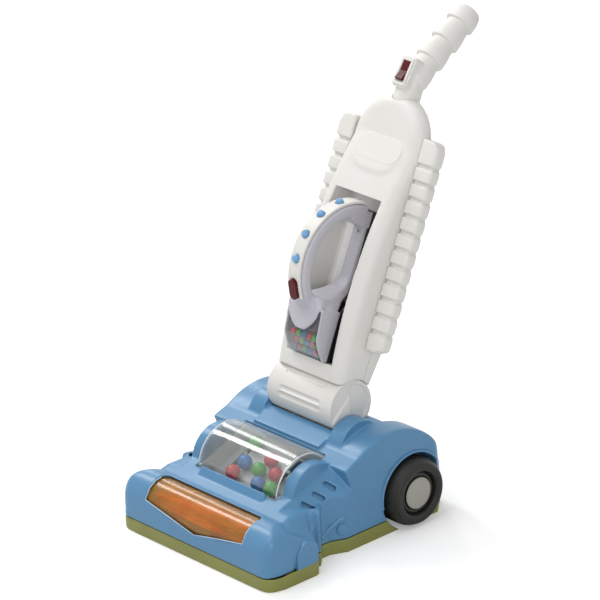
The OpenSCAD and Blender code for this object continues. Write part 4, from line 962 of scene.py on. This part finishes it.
bend = on_upright(0, 0, BEND_S)
lean_dir = (on_upright(0, 0, BEND_S + 1) - bend).normalized()
tip_dir = Matrix.Rotation(-GRIP_BEND, 3, "X") @ lean_dir
grip_line = [(15.0, -3)]
for k in range(CUP_COUNT):
    t0 = CUP_FROM + CUP_LEN * k
    t1 = min(t0 + CUP_LEN, CUP_END)
    grip_line += [(17.2, t0 + 0.3), (17.3, t0 + 3.0), (16.6, t0 + 12),
                  (17.3 - 3.8 * (t1 - t0) / CUP_LEN, t1 - 0.2)]
grip_line += [(14.6, 107), (12.4, 109.1), (9.3, 109.6)]
neck_line = [(15.4, 352.5), (15.4, 390), (15.4, 400)]
ball_turns = [0.1 + 2.94 * k / BEND_STEPS for k in range(BEND_STEPS + 1)]
ball_line = [(BEND_R * math.sin(t), -BEND_R * math.cos(t)) for t in ball_turns]
pad = []
for quarter, (u, v) in enumerate(((1, 1), (-1, 1), (-1, -1), (1, -1))):
    for k in range(5):
        t = math.radians(90 * quarter + 22.5 * k)
        pad.append((u * PAD_HALF[0] + PAD_R * math.cos(t), v * PAD_HALF[1] + PAD_R * math.sin(t)))
grip = joined("grip_shell", [
    turned(neck_line, on_upright(0, 0, 0), lean_dir),
    turned(ball_line, bend, lean_dir),
    turned(grip_line, bend, tip_dir),
    slab(tilted(15.8, 408, math.radians(11)), pad, -13, -0.1),
], voxel=0.7, rounds=6, faces=26000)
take(grip, "upright", "shell_white", "handle_grip")
bezel = dressed("bezel_frame", "switch_bezel", voxel=0.4, rounds=5, faces=9000)
take(bezel, "upright", "shell_white", "switch_bezel")
rocker = dressed("rocker_key", "rocker_switch", voxel=0.35, rounds=5, faces=7000)
take(rocker, "rocker", "button_maroon", "rocker_switch")

# Bare badge plate
BADGE_HALF, BADGE_R, BADGE_STEPS = 19.5, 15.3, 48
badge = []
for k in range(BADGE_STEPS):
    t = 2 * math.pi * (k + 0.5) / BADGE_STEPS
    badge.append((math.copysign(BADGE_HALF, math.cos(t)) + BADGE_R * math.cos(t),
                  BADGE_R * math.sin(t)))
badge_slab = slab(tilted(20.2, BADGE_S, math.radians(17)), badge, -2.0, 2.3)
plate = joined("badge_plate", [badge_slab], voxel=0.5, rounds=5, faces=6000)
take(plate, "upright", "shell_white")

# Hand vacuum: looped handle, back bar, head with its tongue, side panels
RING_R, RING_FROM, RING_SPAN, RING_STEPS = 62, -54, 150, 60
TONGUE_TOP = 134
TUB_FRONT = 12.5


def loop_at(r, degrees):
    """A point on the middle plane, r from the middle of the looped handle."""
    t = math.radians(degrees)
    return on_upright(0, LOOP[0] + r * math.cos(t), LOOP[1] + r * math.sin(t))


def soft_box(power, steps, half_u=1.0, half_v=1.0):
    """A closed section between an ellipse and a box; a lower power is squarer."""
    turns = [2 * math.pi * (k + 0.5) / steps for k in range(steps)]
    return [(half_u * math.copysign(abs(math.cos(t)) ** power, math.cos(t)),
             half_v * math.copysign(abs(math.sin(t)) ** power, math.sin(t))) for t in turns]


def face_on(x, s, n):
    """The frame of a plate that faces forwards."""
    return on_upright(x, n, s)


def side_on(n, s, x):
    """The frame of a plate that faces sideways."""
    return on_upright(x, n, s)


def cup_face(s):
    """How far forward the clear cup's upper front stands."""
    return 62 + 4 * (s - 100) / 32


def stacked(rows):
    """Soft sections up the upright: s, half width, n at the back and n at the front."""
    forward = on_upright(0, 1, 0) - on_upright(0, 0, 0)
    path = [(on_upright(0, (n0 + n1) / 2, s), Vector((half * MM, 0, 0)), forward * (n1 - n0) / 2)
            for s, half, n0, n1 in rows]
    return swept(path, soft_box(0.55, 28))


ring_path = []
for k in range(RING_STEPS + 1):
    d = RING_FROM + RING_SPAN * k / RING_STEPS
    outwards = (loop_at(2, d) - loop_at(1, d)).normalized()
    ring_path.append((loop_at(RING_R, d), ACROSS, outwards))
tongue = []
for s, half in ((147, 20), (140, 24.5), (133, 24.5), (126, 23), (119, 19), (113, 13.5), (108, 7)):
    face = cup_face(min(s, TONGUE_TOP))
    tongue.append((s, half, face + 0.2 - max(0, s - TONGUE_TOP) * 1.6, face + 5.0))
head = [(182, 8.4, 12.5, 18), (172, 8.6, 12.6, 19), (163, 10.5, 14, 24), (155, 14, 17, 37),
        (148, 19, 26, 54), (140, 24.5, 32, 65.5), (132.3, 26.4, 36, 66)]
panel_line = [(37, 78.8), (45, 78.8), (53, 87), (62, 100), (66, 132), (66, 136), (37, 136)]
bar_top = [(12.5, 232), (18, 230), (30, 233), (43, 238), (43, 249.6), (12.5, 249.6)]
vac_body = joined("hand_vac_grey", [
    swept(ring_path, soft_box(0.45, 24, 11.6 * MM, 6.9 * MM)),
    stacked(tongue),
    stacked(head),
    *slab_pair(side_on, panel_line, 24.1, 26.6),
    slab(face_on, even_quad(8.5, 170, 8.5, 246), 12.5, 18),
    slab(side_on, bar_top, -10.5, 10.5),
], voxel=0.8, rounds=14, faces=40000)
take(vac_body, "hand_vac", "vac_grey", "hand_vac_shell")


def tub_shape(p, normal):
    """Presses the dark back flat above the head, so that the back bar stands before it."""
    x, n, s = upright_place(*p.T)
    return upright_back(x, n - np.maximum(0, n - TUB_FRONT) * ramp(s, 150, 154), s)


# Black side plates behind the grey panels, and the black back, make the strip beside the hand
# vacuum dark.
flank = [(28.4, 79.2), (38, 79.2), (38, 136), (28.4, 148)]
flanks = joined("hand_vac_flanks", slab_pair(side_on, flank, 24.3, 26.3),
                voxel=0.6, rounds=3, faces=5000)
take(flanks, "hand_vac", "vac_black")
tub = dressed("hand_vac_dark", "hand_vac_back", voxel=0.8, rounds=5, faces=18000,
              shape=tub_shape)
take(tub, "hand_vac", "vac_black", "hand_vac_back")
spine = dressed("spine_strip", "handle_spine", voxel=0.55, rounds=4, faces=18000)
take(spine, "hand_vac", "shell_white", "handle_spine")
cup = dressed("cup_shell", "nozzle_cup", voxel=0.6, rounds=6, faces=15000)
take(cup, "hand_vac", "cup_clear", "nozzle_cup")
liner = joined("cup_liner", [slab(face_on, even_quad(20, 84, 22, 104), 34.6, 35.2)],
               voxel=0.35, rounds=2, faces=4000)
take(liner, "hand_vac", "liner_dark")
backing = joined("cup_backing", [slab(face_on, even_quad(22, 80.6, 23, 131), 33.6, 34.2)],
                 voxel=0.4, rounds=2, faces=4000)
take(backing, "hand_vac", "vac_grey")

# Carried-over solids
for name, obj in nodes.items():
    slot = slot_of.get(name)
    if slot in LOOKS:
        finish_with(obj, slot)
        shade(obj, 35)
